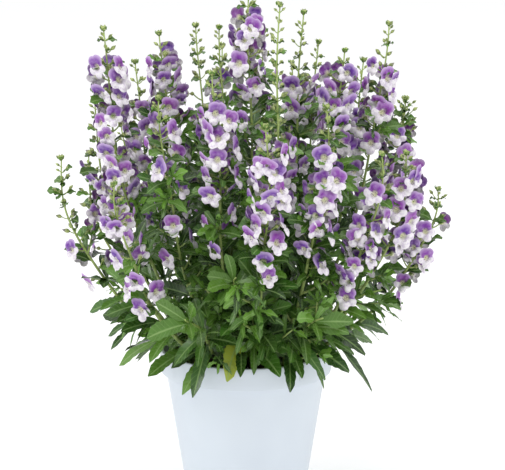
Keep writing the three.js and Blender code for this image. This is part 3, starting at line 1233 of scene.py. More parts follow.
class NodeBoard:
    """A material's node tree, with short ways to add and join its nodes."""

    def __init__(self, name: str) -> None:
        """Start a material with a lone Principled shader.

        Args:
            name: The material's name.
        """
        self.material = bpy.data.materials.new(name)
        self.material.use_nodes = True
        self.tree = self.material.node_tree
        self.shader = self.tree.nodes["Principled BSDF"]

    def add(self, kind: str, links: dict[object, object] | None = None, **settings: object) -> bpy.types.Node:
        """Add a node.

        Args:
            kind: The node's type.
            links: For each input, by name or number, the socket or the value that it takes.
            settings: The node's own settings.

        Returns:
            The node.
        """
        node = self.tree.nodes.new(kind)
        for key, value in settings.items():
            setattr(node, key, value)
        for key, value in (links or {}).items():
            self.set(node.inputs[key], value)
        return node

    def set(self, socket: bpy.types.NodeSocket, value: object) -> None:
        """Join an output to an input, or set the input's value.

        Args:
            socket: The input.
            value: The output that it takes, or its value.
        """
        if isinstance(value, bpy.types.NodeSocket):
            self.tree.links.new(value, socket)
        else:
            socket.default_value = value

    def mark(self, name: str) -> bpy.types.NodeSocket:
        """Return the value of a mark on the mesh."""
        return self.add("ShaderNodeAttribute", attribute_name=name).outputs["Fac"]

    def sum_of(self, operation: str, *values: object) -> bpy.types.NodeSocket:
        """Return a sum of the kind named, such as MULTIPLY."""
        return self.add("ShaderNodeMath", dict(enumerate(values)), operation=operation).outputs[0]

    def noise(self, scale: float, detail: float = 2.0) -> bpy.types.NodeSocket:
        """Add a noise pattern fixed to the object.

        Args:
            scale: How many cells it has in each metre.
            detail: How many finer patterns lie over it.

        Returns:
            Its value.
        """
        where = self.add("ShaderNodeTexCoord").outputs["Object"]
        links = {"Vector": where, "Scale": scale, "Detail": detail}
        return self.add("ShaderNodeTexNoise", links).outputs["Fac"]

    def mapped(
        self, value: object, low: float, high: float, to_low: float = 0, to_high: float = 1
    ) -> bpy.types.NodeSocket:
        """Return a value carried from one range to another, and held within it."""
        links = {"Value": value, "From Min": low, "From Max": high, "To Min": to_low, "To Max": to_high}
        return self.add("ShaderNodeMapRange", links).outputs["Result"]

    def mix(self, share: object, low: object, high: object) -> bpy.types.NodeSocket:
        """Mix two colours.

        Args:
            share: How much of the second colour there is, as a socket or a value.
            low: The first colour.
            high: The second colour.

        Returns:
            The mix.
        """
        node = self.add("ShaderNodeMix", data_type="RGBA")
        for socket, value in zip((node.inputs[0], node.inputs[6], node.inputs[7]), (share, low, high)):
            self.set(socket, value)
        return node.outputs[2]

    def bump(self, height: object, distance: float, strength: float) -> None:
        """Give the shader a relief from a height pattern."""
        links = {"Height": height, "Distance": distance, "Strength": strength}
        self.set(self.shader.inputs["Normal"], self.add("ShaderNodeBump", links).outputs["Normal"])

    def finish(self, **values: object) -> bpy.types.Material:
        """Set the shader's inputs.

        Args:
            values: The value or the socket for each input, by its name with underscores for spaces.

        Returns:
            The material.
        """
        for key, value in values.items():
            self.set(self.shader.inputs[key.replace("_", " ")], value)
        return self.material


Colour = tuple[float, float, float, float]


def colour(red: int, green: int, blue: int) -> Colour:
    """Turn a colour as it looks on a screen into the linear values of a shader.

    Args:
        red: Its red, from 0 to 255.
        green: Its green, from 0 to 255.
        blue: Its blue, from 0 to 255.

    Returns:
        The linear values, with full cover.
    """
    shown = [value / 255 for value in (red, green, blue)]
    linear = [value / 12.92 if value < 0.04045 else ((value + 0.055) / 1.055) ** 2.4 for value in shown]
    return (*linear, 1.0)


@dataclass(frozen=True)
class LeafFinish:
    """Glossy green blade, with a pale midrib and side veins, and a brighter green on young leaves."""

    old: Colour = colour(16, 41, 8)
    mid: Colour = colour(60, 107, 32)
    young: Colour = colour(108, 154, 54)
    faded: Colour = colour(164, 176, 58)
    rib: Colour = colour(142, 174, 104)
    mottle: float = 90
    veins: float = 62
    vein_slant: float = 9
    vein_show: float = 0.2
    rib_show: float = 0.62
    relief: float = 0.0004
    roughness: float = 0.26

    def made(self) -> bpy.types.Material:
        """Make the material.

        Returns:
            The material.
        """
        board = NodeBoard("leaf")
        along, across, tint, tone = (board.mark(name) for name in MeshMaker.MARKS)
        mottle = board.mapped(board.noise(self.mottle, 3), 0.35, 0.65)
        age = board.sum_of("ADD", board.sum_of("MULTIPLY", tint, 0.7), board.sum_of("MULTIPLY", mottle, 0.3))
        grown = board.mix(board.sum_of("POWER", age, 1.9), self.old, self.mid)
        fresh = board.mix(board.mapped(tone, 0, 1), grown, self.young)
        green = board.mix(board.mapped(tone, 1, 2, 0, 0.9), fresh, self.faded)
        side = board.sum_of("ABSOLUTE", across)
        course = board.sum_of("MULTIPLY", along, self.veins)
        slope = board.sum_of("SUBTRACT", course, board.sum_of("MULTIPLY", side, self.vein_slant))
        veins = board.mapped(board.sum_of("SINE", slope), 0.72, 1, 0, self.vein_show)
        rib = board.mapped(side, 0.05, 0.16, self.rib_show, 0)
        pale = board.sum_of("MAXIMUM", rib, veins)
        board.bump(board.sum_of("SUBTRACT", 0.6, pale), self.relief, 0.5)
        shine = board.mapped(mottle, 0, 1, self.roughness - 0.06, self.roughness + 0.1)
        return board.finish(Base_Color=board.mix(pale, green, self.rib), Roughness=shine)


@dataclass(frozen=True)
class StemFinish:
    """Fresh stem, yellow-green where it is young and darker at its foot."""

    foot: Colour = colour(90, 112, 52)
    top: Colour = colour(160, 180, 102)
    streaks: float = 260
    streak_show: float = 0.2
    grown_share: float = 0.6
    roughness: float = 0.48

    def made(self) -> bpy.types.Material:
        """Make the material.

        Returns:
            The material.
        """
        board = NodeBoard("stem")
        streak = board.mapped(board.noise(self.streaks, 2), 0.4, 0.6, -self.streak_show, self.streak_show)
        height = board.sum_of("ADD", board.mapped(board.mark("along"), 0, self.grown_share), streak)
        return board.finish(Base_Color=board.mix(height, self.foot, self.top), Roughness=self.roughness)


@dataclass(frozen=True)
class BudFinish:
    """Green bud and calyx, with the petals' violet at the tip of the older buds."""

    green: Colour = colour(86, 102, 50)
    pale: Colour = colour(176, 190, 118)
    violet: Colour = colour(96, 58, 118)
    mottle: float = 400
    pale_show: float = 0.25
    roughness: float = 0.55

    def made(self) -> bpy.types.Material:
        """Make the material.

        Returns:
            The material.
        """
        board = NodeBoard("bud")
        along, tint, tone = (board.mark(name) for name in ("along", "tint", "tone"))
        green = board.mix(board.mapped(board.noise(self.mottle, 2), 0.4, 0.6), self.green, self.pale)
        tip = board.sum_of("MULTIPLY", board.mapped(along, 0.45, 0.8), tone)
        pale = board.sum_of("MULTIPLY", tint, self.pale_show)
        shade = board.mix(pale, board.mix(tip, green, self.violet), self.pale)
        return board.finish(Base_Color=shade, Roughness=self.roughness)


@dataclass(frozen=True)
class PetalFinish:
    """Petals with a violet hood and a white lip, lilac where they meet, and a yellow-green throat."""

    violet: Colour = colour(88, 36, 142)
    magenta: Colour = colour(138, 56, 158)
    lavender: Colour = colour(202, 180, 216)
    white: Colour = colour(230, 226, 229)
    lilac: Colour = colour(190, 172, 202)
    throat: Colour = colour(222, 224, 180)
    freckle: Colour = colour(66, 28, 84)
    clouds: float = 260
    cloud_show: float = 0.4
    streaks: float = 420
    streak_show: float = 0.6
    freckles: float = 900
    freckle_show: float = 0.7
    edge_show: float = 0.88
    roughness: float = 0.6

    def made(self) -> bpy.types.Material:
        """Make the material.

        Returns:
            The material.
        """
        board = NodeBoard("petal")
        along, tint, tone = (board.mark(name) for name in ("along", "tint", "tone"))
        hue = board.mix(tint, self.violet, self.magenta)
        cloud = board.mapped(board.noise(self.clouds, 3), 0.4, 0.7, 0, self.cloud_show)
        edge = board.mapped(along, 0.66, 1.02, 0, self.edge_show)
        hood = board.mix(board.sum_of("MAXIMUM", cloud, edge), hue, self.lavender)
        streaks = board.mapped(board.noise(self.streaks, 2), 0.45, 0.65, 0, self.streak_show)
        lip = board.mix(streaks, self.white, self.lilac)
        petal = board.mix(board.mapped(tone, 0.35, 0.65), lip, hood)
        heart = board.mix(board.mapped(along, 0.1, 0.34), self.throat, petal)
        freckles = board.mapped(board.noise(self.freckles, 1), 0.58, 0.64, 0, self.freckle_show)
        spots = board.sum_of("MULTIPLY", freckles, board.mapped(along, 0.5, 0.36))
        return board.finish(Base_Color=board.mix(spots, heart, self.freckle), Roughness=self.roughness)


@dataclass(frozen=True)
class PotFinish:
    """Moulded white plastic, with a faint blue cast and the slight waves of a thin wall."""

    white: Colour = colour(209, 217, 225)
    shade: Colour = colour(202, 210, 219)
    waves: float = 14
    grain: float = 2600
    grain_depth: float = 0.06
    relief: float = 0.0012
    roughness: Pair = (0.36, 0.46)
    gloss: float = 0.45

    def made(self) -> bpy.types.Material:
        """Make the material.

        Returns:
            The material.
        """
        board = NodeBoard("white_plastic")
        wave = board.noise(self.waves, 2)
        grain = board.noise(self.grain, 2)
        height = board.sum_of("ADD", wave, board.sum_of("MULTIPLY", grain, self.grain_depth))
        board.bump(height, self.relief, 0.25)
        body = board.mix(board.mapped(wave, 0.3, 0.7), self.white, self.shade)
        shine = board.mapped(grain, 0.3, 0.7, *self.roughness)
        return board.finish(Base_Color=body, Roughness=shine, Specular_IOR_Level=self.gloss)


@dataclass(frozen=True)
class SoilFinish:
    """Damp potting mix, dark brown with lighter fibres."""

    dark: Colour = colour(38, 27, 20)
    fibre: Colour = colour(92, 68, 48)
    clods: float = 420
    fibres: float = 1500
    relief: float = 0.002
    roughness: float = 0.95

    def made(self) -> bpy.types.Material:
        """Make the material.

        Returns:
            The material.
        """
        board = NodeBoard("potting_mix")
        coarse = board.noise(self.clods, 5)
        fibre = board.mapped(board.noise(self.fibres, 4), 0.5, 0.7)
        board.bump(coarse, self.relief, 0.9)
        body = board.mix(board.mapped(coarse, 0.45, 0.75), self.dark, self.fibre)
        return board.finish(Base_Color=board.mix(fibre, body, self.fibre), Roughness=self.roughness)


@dataclass(frozen=True)
class CrumbFinish:
    """White perlite and brown bark crumbs, told apart by their mark."""

    bark: Colour = colour(70, 48, 34)
    perlite: Colour = colour(214, 208, 196)
    dusty: Colour = colour(176, 168, 152)
    grit: float = 1800
    relief: float = 0.0006
    roughness: float = 0.9

    def made(self) -> bpy.types.Material:
        """Make the material.

        Returns:
            The material.
        """
        board = NodeBoard("crumbs")
        grit = board.noise(self.grit, 3)
        board.bump(grit, self.relief, 0.6)
        pale = board.mix(board.mapped(grit, 0.3, 0.7), self.perlite, self.dusty)
        crumb = board.mix(board.mark("tone"), self.bark, pale)
        return board.finish(Base_Color=crumb, Roughness=self.roughness)


@dataclass(frozen=True)
class PaperFinish:
    """The pale, nearly even paper of the studio floor."""

    patches: float = 0.6
    tones: Pair = (0.98, 1.0)
    roughness: float = 0.9

    def made(self) -> bpy.types.Material:
        """Make the material.

        Returns:
            The material.
        """
        board = NodeBoard("studio_floor")
        tone = board.mapped(board.noise(self.patches, 1), 0, 1, *self.tones)
        paper = board.add("ShaderNodeCombineColor", {0: tone, 1: tone, 2: tone}).outputs[0]
        return board.finish(Base_Color=paper, Roughness=self.roughness)


@dataclass(frozen=True)
class BladeForm:
    """The outward form of a leaf's blade. The pairs are the least and the most that a leaf's own may be."""

    rows: int = 15
    short_rows: int = 9
    short: float = 20
    columns: int = 5
    foot: float = 0.02
    foot_power: float = 0.8
    tip_cut: float = 0.985
    tip_power: float = 1.8
    tip_bluntness: float = 0.7
    widest: float = 0.5
    tooth: float = 0.065
    first_tooth: float = 0.3
    breadth: Pair = (1.0, 1.28)
    bend: float = 0.07
    fold: Pair = (0.7, 1.5)
    fold_power: float = 1.3
    ripple: float = 0.8
    ripple_start: float = 0.17
    ripple_length: float = 0.26
    lean_to_light: float = 0.9
    twist: float = 0.35
    twist_rise: float = 2.5
    youth_gain: float = 0.8
    youth_power: int = 4

    def edge(self, shares: Array) -> tuple[Array, Array]:
        """Work out the outline of the blade.

        Args:
            shares: The shares of its length, row by row.

        Returns:
            Half the smooth blade's width at each row, and the share of it that the teeth leave.
        """
        smooth = shares**self.foot_power * (1 - self.tip_cut * shares**self.tip_power) ** self.tip_bluntness
        in_or_out = np.where(np.arange(len(shares)) % 2 == 0, 1, -1)
        return smooth / self.widest, 1 + self.tooth * in_or_out * (shares > self.first_tooth)


@dataclass(frozen=True)
class BudForm:
    """The outward form of a bud with the small leaf under it. Its sizes are shares of its radius."""

    behind: float = 1.6
    ahead: float = 1.5
    girth: float = 0.86
    overlap: float = 0.4
    stalk: float = 0.9
    violet: float = 0.7
    violet_fall: float = 1.8
    leaf_below: float = 0.75
    leaf_share: float = 0.7
    leaf_rise: Pair = (0.1, 1.0)
    leaf: Pair = (16, 7)
    leaf_range: Pair = (0.8, 1.15)
    leaf_sag: float = 0.3
    leaf_youth: float = 0.1
    leaf_plump: float = 1.6


@dataclass(frozen=True)
class CrownForm:
    """The buds that fill a stem's top. The pairs of sizes go from the lowest bud to the highest."""

    start: float = 2
    tip_gap: float = 3
    turn_range: float = 0.3
    step: Pair = (11, 7.5)
    reach: Pair = (9.0, 4.4)
    reach_range: Pair = (0.75, 1.2)
    radius: Pair = (2.15, 1.3)
    radius_range: Pair = (0.85, 1.1)
    leaf: Pair = (13, 7)
    leaf_range: Pair = (0.8, 1.2)
    leaf_aside: float = 0.7
    leaf_sag: float = 0.3
    leaf_youth: float = 0.3
    leaf_plump: float = 1.7


@dataclass(frozen=True)
class KnobForm:
    """The cluster of closed buds and tiny leaves at a stem's tip."""

    buds: int = 5
    turn_range: float = 0.3
    spread: Pair = (0.35, 0.9)
    length: Pair = (3.6, 5.4)
    radius: float = 1.6
    tint: Pair = (0.5, 1)
    leaf_lean: float = 0.7
    leaf: Pair = (4.2, 6.2)
    leaf_sag: float = 0.1
    leaf_youth: float = 0.7
    leaf_plump: float = 2.4


@dataclass(frozen=True)
class CalyxForm:
    """The green cup behind a bloom, and the leaves under the bloom, which fewer of the outer ones have."""

    behind: float = 1.2
    ahead: float = 3
    radius: float = 1.9
    stalk: float = 1.3
    outer: float = -85
    outer_bare: float = 0.4
    high_bare: float = 0.4
    filling_bare: float = 0.85
    turn: Pair = (0.35, 1.0)
    leaf: Pair = (36, 15)
    leaf_range: Pair = (0.7, 1.15)
    leaf_lean: Pair = (55, 85)
    leaf_sag: float = 0.25
    leaf_youth: Pair = (0, 0.45)
    leaf_plump: float = 1.5
    leaf_gap: float = 2


@dataclass
class Greenery:
    """The green piece of one stem: the stem, its leaves, buds, stalks and side shoots.

    The stalks and the side shoots take the colour that a stem has at their height, from 0 to 1.
    """

    maker: MeshMaker = field(default_factory=MeshMaker)
    blade: BladeForm = BladeForm()
    bud: BudForm = BudForm()
    crown: CrownForm = CrownForm()
    knob: KnobForm = KnobForm()
    calyx: CalyxForm = CalyxForm()
    stem_rings: int = 34
    stem_sides: int = 8
    stem_girth: Pair = (0.95, 0.62)
    buried: float = 3
    stalk_rings: int = 5
    stalk_sides: int = 5
    stalk_girth: Pair = (0.55, 0.45)
    stalk_sag: float = 0.1
    stalk_height: float = 0.7
    shoot_girth: Pair = (1.1, 0.7)
    shoot_height: float = 0.5
    ovoid_sides: int = 7
    small_ovoid_rings: int = 5
    ovoid_ends: Pair = (0.03, 0.965)
    ovoid_power: float = 0.8
    off_axis: tuple[float, float, float] = (0.31, 0.95, 0.05)

    def add_tube(
        self, line: Array, radii: Array, sides: int, part: Part, **marks: float | Array
    ) -> None:
        """Add a closed tube along a line.

        Args:
            line: The points of its axis.
            radii: Its radius at each point.
            sides: How many sides it has.
            part: Its finish.
            marks: Its marks by name, each one value or a column of them.
        """
        ahead = np.gradient(line, axis=0)
        ahead /= np.linalg.norm(ahead, axis=1)[:, None]
        first = np.cross(ahead, np.array(self.off_axis))
        first /= np.linalg.norm(first, axis=1)[:, None]
        second = np.cross(ahead, first)
        turns = even_turns(sides)
        ring = np.cos(turns)[None, :, None] * first[:, None] + np.sin(turns)[None, :, None] * second[:, None]
        grid = line[:, None] + ring * radii[:, None, None]
        self.maker.add_grid(grid, part, wrap=True, closed=True, **marks)

    def add_stem(self, stem: Stem) -> None:
        """Add the stem itself, from a little below the soil's top.

        Args:
            stem: The stem.
        """
        shares = np.linspace(0, 1, self.stem_rings)
        root = np.array([*stem.collar[:2], SOIL_TOP - self.buried])
        line = np.array([root] + [stem.curve(t) + stem.sway(t) for t in shares])
        radii = [stem.radius_at(0)] + [stem.radius_at(t) * lerp(*self.stem_girth, t) for t in shares]
        along = np.concatenate([[0], shares])[:, None]
        self.add_tube(line, np.array(radii), self.stem_sides, Part.STEM, along=along)

    def add_leaf(self, leaf: Leaf, draws: Draws) -> None:
        """Add a lance-shaped leaf with a toothed edge, folded along its midrib.

        Args:
            leaf: Where it grows.
            draws: The draws for its own small differences.
        """
        form = self.blade
        shares = np.linspace(form.foot, 1, form.rows if leaf.length > form.short else form.short_rows)
        width, teeth = form.edge(shares)
        half = leaf.length * LEAF_HALF_WIDTH * leaf.plump * width * teeth * draws.between(*form.breadth)
        centre = np.array([leaf.midrib(share) for share in shares])
        centre += leaf.across * (leaf.length * draws.either_way(form.bend) * shares**2)[:, None]
        columns = np.linspace(-1, 1, form.columns)
        fold = LEAF_FOLD * draws.between(*form.fold)
        ripple = form.ripple * np.sin(math.pi * (shares - form.ripple_start) / form.ripple_length)
        twist = form.lean_to_light * leaf.across[1] + draws.either_way(form.twist)
        twist = twist * np.minimum(1, form.twist_rise * shares)
        half = half / np.sqrt(1 + twist**2)
        lift = fold * np.abs(columns)[None] ** form.fold_power + twist[:, None] * columns[None]
        height = half[:, None] * lift + ripple[:, None] * columns[None] * np.abs(columns)[None]
        spread = leaf.across * (half[:, None] * columns[None])[:, :, None]
        grid = centre[:, None] + spread + UP * height[:, :, None]
        tint, tone = draws.between(0, 1), leaf.young
        if tone <= 1:
            tone = min(1.0, tone + form.youth_gain * draws.between(0, 1) ** form.youth_power)
        along, across = shares[:, None], columns[None]
        self.maker.add_grid(grid, Part.LEAF, along=along, across=across, tint=tint, tone=tone)

    def add_stalk(self, root: Array, end: Array, radius: float) -> None:
        """Add a thin stalk that curves up to what it carries.

        Args:
            root: Its foot.
            end: Its end.
            radius: About twice its own radius.
        """
        shares = np.linspace(0, 1, self.stalk_rings)
        sag = np.linalg.norm(end - root) * self.stalk_sag
        line = root + (end - root) * shares[:, None] - UP * (sag * np.sin(math.pi * shares))[:, None]
        radii = np.linspace(*self.stalk_girth, self.stalk_rings) * radius
        self.add_tube(line, radii, self.stalk_sides, Part.STEM, along=self.stalk_height)

    def add_ovoid(
        self,
        low: Array,
        high: Array,
        radius: float,
        tint: float,
        tone: float,
        rings: int = 7,
    ) -> None:
        """Add a pointed egg, for a bud or a calyx.

        Args:
            low: Its stalk's end.
            high: Its tip.
            radius: Its widest radius.
            tint: The mark that varies from one piece to the next.
            tone: How much of the petals' colour shows at its tip.
            rings: How many rings it has.
        """
        shares = np.linspace(0, 1, rings)
        line = low + (high - low) * shares[:, None]
        radii = radius * np.sin(math.pi * np.clip(shares, *self.ovoid_ends) ** self.ovoid_power)
        along = shares[:, None]
        self.add_tube(line, radii, self.ovoid_sides, Part.BUD, along=along, tint=tint, tone=tone)

    def add_bud(self, bud: Bud, draws: Draws) -> None:
        """Add a bud on its stalk, with the small leaf under it.

        Args:
            bud: Where it grows.
            draws: The draws for its own small differences.
        """
        form = self.bud
        low = bud.point + bud.heading * (bud.reach - form.behind * bud.radius)
        high = bud.point + bud.heading * (bud.reach + form.ahead * bud.radius)
        self.add_stalk(bud.point, low + bud.heading * form.overlap, form.stalk)
        violet = max(0.0, form.violet - form.violet_fall * bud.age)
        self.add_ovoid(low, high, bud.radius * form.girth, draws.between(0, 1), violet)
        if bud.age < form.leaf_below and draws.chance(form.leaf_share):
            heading = unit(bud.heading * np.array([1, 1, draws.between(*form.leaf_rise)]))
            size = lerp(*form.leaf, bud.age) * draws.between(*form.leaf_range)
            traits = {"young": form.leaf_youth, "plump": form.leaf_plump}
            self.add_leaf(Leaf(bud.point, heading, bud.across, size, form.leaf_sag, **traits), draws)

    def add_bud_crown(self, stem: Stem) -> None:
        """Add the buds that fill a stem's top, in pairs between the others.

        Args:
            stem: The stem.
        """
        form = self.crown
        low = stem.bloom_high
        first = Draws(Topic.CROWN_TURN, stem.number).between(0, FULL_TURN)
        top = LEAFY_TOPS.get(stem.number, USUAL_TOP)
        slot, distance = 0, low + form.start
        while distance < stem.length - form.tip_gap:
            young = (distance - low) / (stem.length - low)
            draws = Draws(Topic.BUD_CROWN, stem.number, slot)
            turn = first + slot * math.pi / 2 + draws.either_way(form.turn_range)
            for way in range(2):
                reach = lerp(*form.reach, young) * draws.between(*form.reach_range) * top.reach
                radius = lerp(*form.radius, young) * draws.between(*form.radius_range)
                bud = stem.bud(distance, turn + math.pi * way, reach, radius, slot, young)
                bud.point = bud.point + stem.sway(distance / stem.length)
                self.add_bud(bud, draws)
                if draws.chance(top.share):
                    size = lerp(*form.leaf, young) * draws.between(*form.leaf_range) * top.leaf
                    heading = unit(bud.heading + bud.across * draws.either_way(form.leaf_aside))
                    across = unit(bud.across - heading * (bud.across @ heading))
                    traits = {"young": form.leaf_youth, "plump": form.leaf_plump}
                    leaf = Leaf(bud.point, heading, across, size, form.leaf_sag, **traits)
                    self.add_leaf(leaf, draws)
            slot += 1
            distance += lerp(*form.step, young) * top.step

    def add_knob(self, stem: Stem) -> None:
        """Add the closed buds and the tiny leaves at a stem's tip.

        Args:
            stem: The stem.
        """
        form = self.knob
        tip, along, _ = stem.place(stem.length)
        tip = tip + stem.sway(1)
        for k, around in enumerate(even_turns(form.buds)):
            draws = Draws(Topic.TIP_KNOB, stem.number, k)
            around += draws.either_way(form.turn_range)
            outward = toward(stem.sideways, np.cross(stem.sideways, along), around)
            heading = unit(along + outward * draws.between(*form.spread))
            high = tip + heading * draws.between(*form.length)
            tint = draws.between(*form.tint)
            self.add_ovoid(tip, high, form.radius, tint, 0.0, self.small_ovoid_rings)
            size = draws.between(*form.leaf)
            traits = {"young": form.leaf_youth, "plump": form.leaf_plump}
            leaf = leaf_from(tip - along, along, outward, form.leaf_lean, size, form.leaf_sag, **traits)
            self.add_leaf(leaf, draws)

    def add_calyx(self, bloom: Bloom, draws: Draws) -> None:
        """Add a bloom's stalk, the green cup behind it and the leaves under it.

        Args:
            bloom: Where it grows, and which way it faces.
            draws: The draws for their own small differences.
        """
        form = self.calyx
        self.add_stalk(bloom.point, bloom.calyx, form.stalk)
        low, high = bloom.calyx - bloom.facing * form.behind, bloom.calyx + bloom.facing * form.ahead
        self.add_ovoid(low, high, form.radius, draws.between(0, 1), 0.0, self.small_ovoid_rings)
        level = unit(bloom.facing * LEVEL)
        bare = form.outer_bare if bloom.point[0] < form.outer else 0.0
        bare = form.filling_bare if bloom.seed >= FILLING.first_seed else bare + form.high_bare * bloom.age**2
        for way in (1, -1):
            if draws.chance(bare):
                continue
            outward = toward(level, np.cross(UP, level), way * draws.between(*form.turn))
            size = lerp(*form.leaf, bloom.age) * draws.between(*form.leaf_range)
            lean = math.radians(draws.between(*form.leaf_lean))
            foot = bloom.point - UP * form.leaf_gap * way
            traits = {"young": draws.between(*form.leaf_youth), "plump": form.leaf_plump}
            self.add_leaf(leaf_from(foot, UP, outward, lean, size, form.leaf_sag, **traits), draws)

    def add_side_shoot(self, shoot: SideShoot, draws: Draws) -> None:
        """Add a side shoot's stalk and its leaves.

        Args:
            shoot: Where it grows.
            draws: The draws for its leaves' small differences.
        """
        radii = np.linspace(*self.shoot_girth, len(shoot.line))
        self.add_tube(shoot.line, radii, self.stalk_sides, Part.STEM, along=self.shoot_height)
        for leaf in shoot.leaves:
            self.add_leaf(leaf, draws)


@dataclass(frozen=True)
class Lobe:
    """One lobe of a bloom: its middle and half its width in degrees, its length, and how far it bows."""

    middle: float
    half: float
    length: float
    bow: float


@dataclass
class Petals:
    """The petal piece of one stem. Each open bloom is a two-lobed hood over a three-lobed lip."""

    maker: MeshMaker = field(default_factory=MeshMaker)
    columns: int = 32
    shares: tuple[float, ...] = (0.38, 0.56, 0.74, 0.9, 1.0)
    lobes: tuple[Lobe, ...] = (
        Lobe(62, 48, 11.4, 2.6),
        Lobe(118, 48, 11.4, 2.6),
        Lobe(198, 38, 10.2, 1.8),
        Lobe(270, 41, 11.4, 3.4),
        Lobe(342, 38, 10.2, 1.8),
    )
    # Radius and height of the rings of the throat.
    throat: tuple[Pair, ...] = ((0.3, -1.9), (1.8, -1.2), (3.1, -0.2))
    full_reach: float = 11.5
    hood: Pair = (8, 172)
    size: Pair = (0.74, 1.0)
    lobe_range: Pair = (0.94, 1.04)
    roundness: float = 0.32
    least_reach: float = 5.0
    least_bow: float = 0.5
    bow_rise: float = 1.25
    bow_end: float = 0.86
    bow_back: float = 0.1
    edge_rise: float = 0.35
    ruffle: float = 0.45
    ruffles: int = 5
    ruffle_turn: float = 6.28
    petal_mark: float = 0.3

    def add_bloom(self, bloom: Bloom, draws: Draws) -> None:
        """Add a bloom.

        Args:
            bloom: Where it grows, and which way it faces.
            draws: The draws for its own small differences.
        """
        size = draws.between(*self.size)
        degrees = np.arange(self.columns) * 360 / self.columns
        angles = np.radians(degrees)
        reach, bow = np.full(self.columns, self.least_reach), np.full(self.columns, self.least_bow)
        for lobe in self.lobes:
            off = (degrees - lobe.middle + 180) % 360 - 180
            inside = np.clip(1 - (off / lobe.half) ** 2, 0, 1)
            length = lobe.length * draws.between(*self.lobe_range) * inside**self.roundness
            bow = np.where(length > reach, lobe.bow * inside, bow)
            reach = np.maximum(reach, length)
        ruffle = draws.between(0, self.ruffle_turn)
        radii = [np.full(self.columns, radius) for radius, _ in self.throat]
        forwards = [np.full(self.columns, forward) for _, forward in self.throat]
        for share in self.shares:
            rise = self.bow_rise * math.sin(math.pi * share * self.bow_end) - self.bow_back
            curl = bow * rise + self.edge_rise * share**2
            radii.append(reach * share)
            forwards.append(curl + self.ruffle * share**2 * np.sin(self.ruffles * angles + ruffle))
        radius, forward = np.array(radii), np.array(forwards)
        grid = (
            bloom.centre
            + bloom.right * (radius * np.cos(angles))[:, :, None]
            + bloom.top * (radius * np.sin(angles))[:, :, None]
            + bloom.facing * forward[:, :, None]
        )
        grid = bloom.calyx + (grid - bloom.calyx) * size
        along = [radius / self.full_reach for radius, _ in self.throat]
        along += [max(share, self.petal_mark) for share in self.shares]
        in_hood = ((degrees > self.hood[0]) & (degrees < self.hood[1])).astype(float)
        marks = {"along": np.array(along)[:, None], "tint": draws.between(0, 1), "tone": in_hood[None]}
        self.maker.add_grid(grid, Part.PETAL, wrap=True, **marks)


def settle(piece: bpy.types.Object, slot: str, *nodes: str) -> None:
    """Tie a piece to the body, and hide the nodes that it stands for.

    Args:
        piece: The piece.
        slot: The name of a material slot, which is not used.
        nodes: The part's nodes that it takes the place of.
    """
    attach(piece, ROOT)
    if nodes:
        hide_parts(*nodes)
    log.info("%s: %d faces", piece.name, len(piece.data.polygons))


@dataclass
class StemPieces:
    """The finer form of every stem, in the place of its node."""

    plant: Plant

    @staticmethod
    def node_name(stem: Stem) -> str:
        """Find the stem's node.

        Args:
            stem: The stem.

        Returns:
            The node's name.
        """
        if stem.kind is Kind.LEAFY:
            return f"leafy_shoot_{stem.number - len(FLOWERING_STEMS) + 1:02d}"
        return f"flowering_stem_{stem.number + 1:02d}"

    def build(self, finishes: dict[Part, bpy.types.Material]) -> None:
        """Build and dress every stem.

        Args:
            finishes: The material for each part of a stem.
        """
        slots = [finishes[part] for part in Part]
        for stem in self.plant.stems:
            node = self.node_name(stem)
            greenery, petals = Greenery(), Petals()
            self.add_leafy_part(greenery, stem)
            self.add_blooms(greenery, petals, stem)
            for bud in stem.buds:
                bud.point = bud.point + stem.sway(lerp(stem.bloom_to, 1, bud.age))
                greenery.add_bud(bud, Draws(Topic.BUD_FORM, stem.number, bud.seed))
            if stem.kind is Kind.FLOWERING:
                greenery.add_bud_crown(stem)
                greenery.add_knob(stem)
            settle(greenery.maker.finished(f"{node}_green", slots), "foliage", node)
            if stem.blooms:
                settle(petals.maker.finished(f"{node}_petals", slots), "blooms", node)

    @staticmethod
    def add_leafy_part(greenery: Greenery, stem: Stem) -> None:
        """Add a stem with its leaves and its side shoots.

        Args:
            greenery: The stem's green piece.
            stem: The stem.
        """
        greenery.add_stem(stem)
        for leaf in stem.leaves:
            leaf.point = leaf.point + stem.sway(leaf.age)
            greenery.add_leaf(leaf, Draws(Topic.LEAF_FORM, stem.number, leaf.seed))
        for i, shoot in enumerate(stem.side_shoots):
            greenery.add_side_shoot(shoot, Draws(Topic.SIDE_SHOOT_FORM, stem.number, i))

    @staticmethod
    def add_blooms(greenery: Greenery, petals: Petals, stem: Stem) -> None:
        """Add a stem's blooms, each turned a little its own way.

        Args:
            greenery: The stem's green piece, which the calyxes join.
            petals: The stem's petal piece.
            stem: The stem.
        """
        for bloom in stem.blooms:
            shift = stem.sway(bloom.age)
            bloom.point, bloom.calyx = bloom.point + shift, bloom.calyx + shift
            bloom.turn_aside(Draws(Topic.BLOOM_TURN, stem.number, bloom.seed))
            draws = Draws(Topic.BLOOM_FORM, stem.number, bloom.seed)
            greenery.add_calyx(bloom, draws)
            petals.add_bloom(bloom, draws)


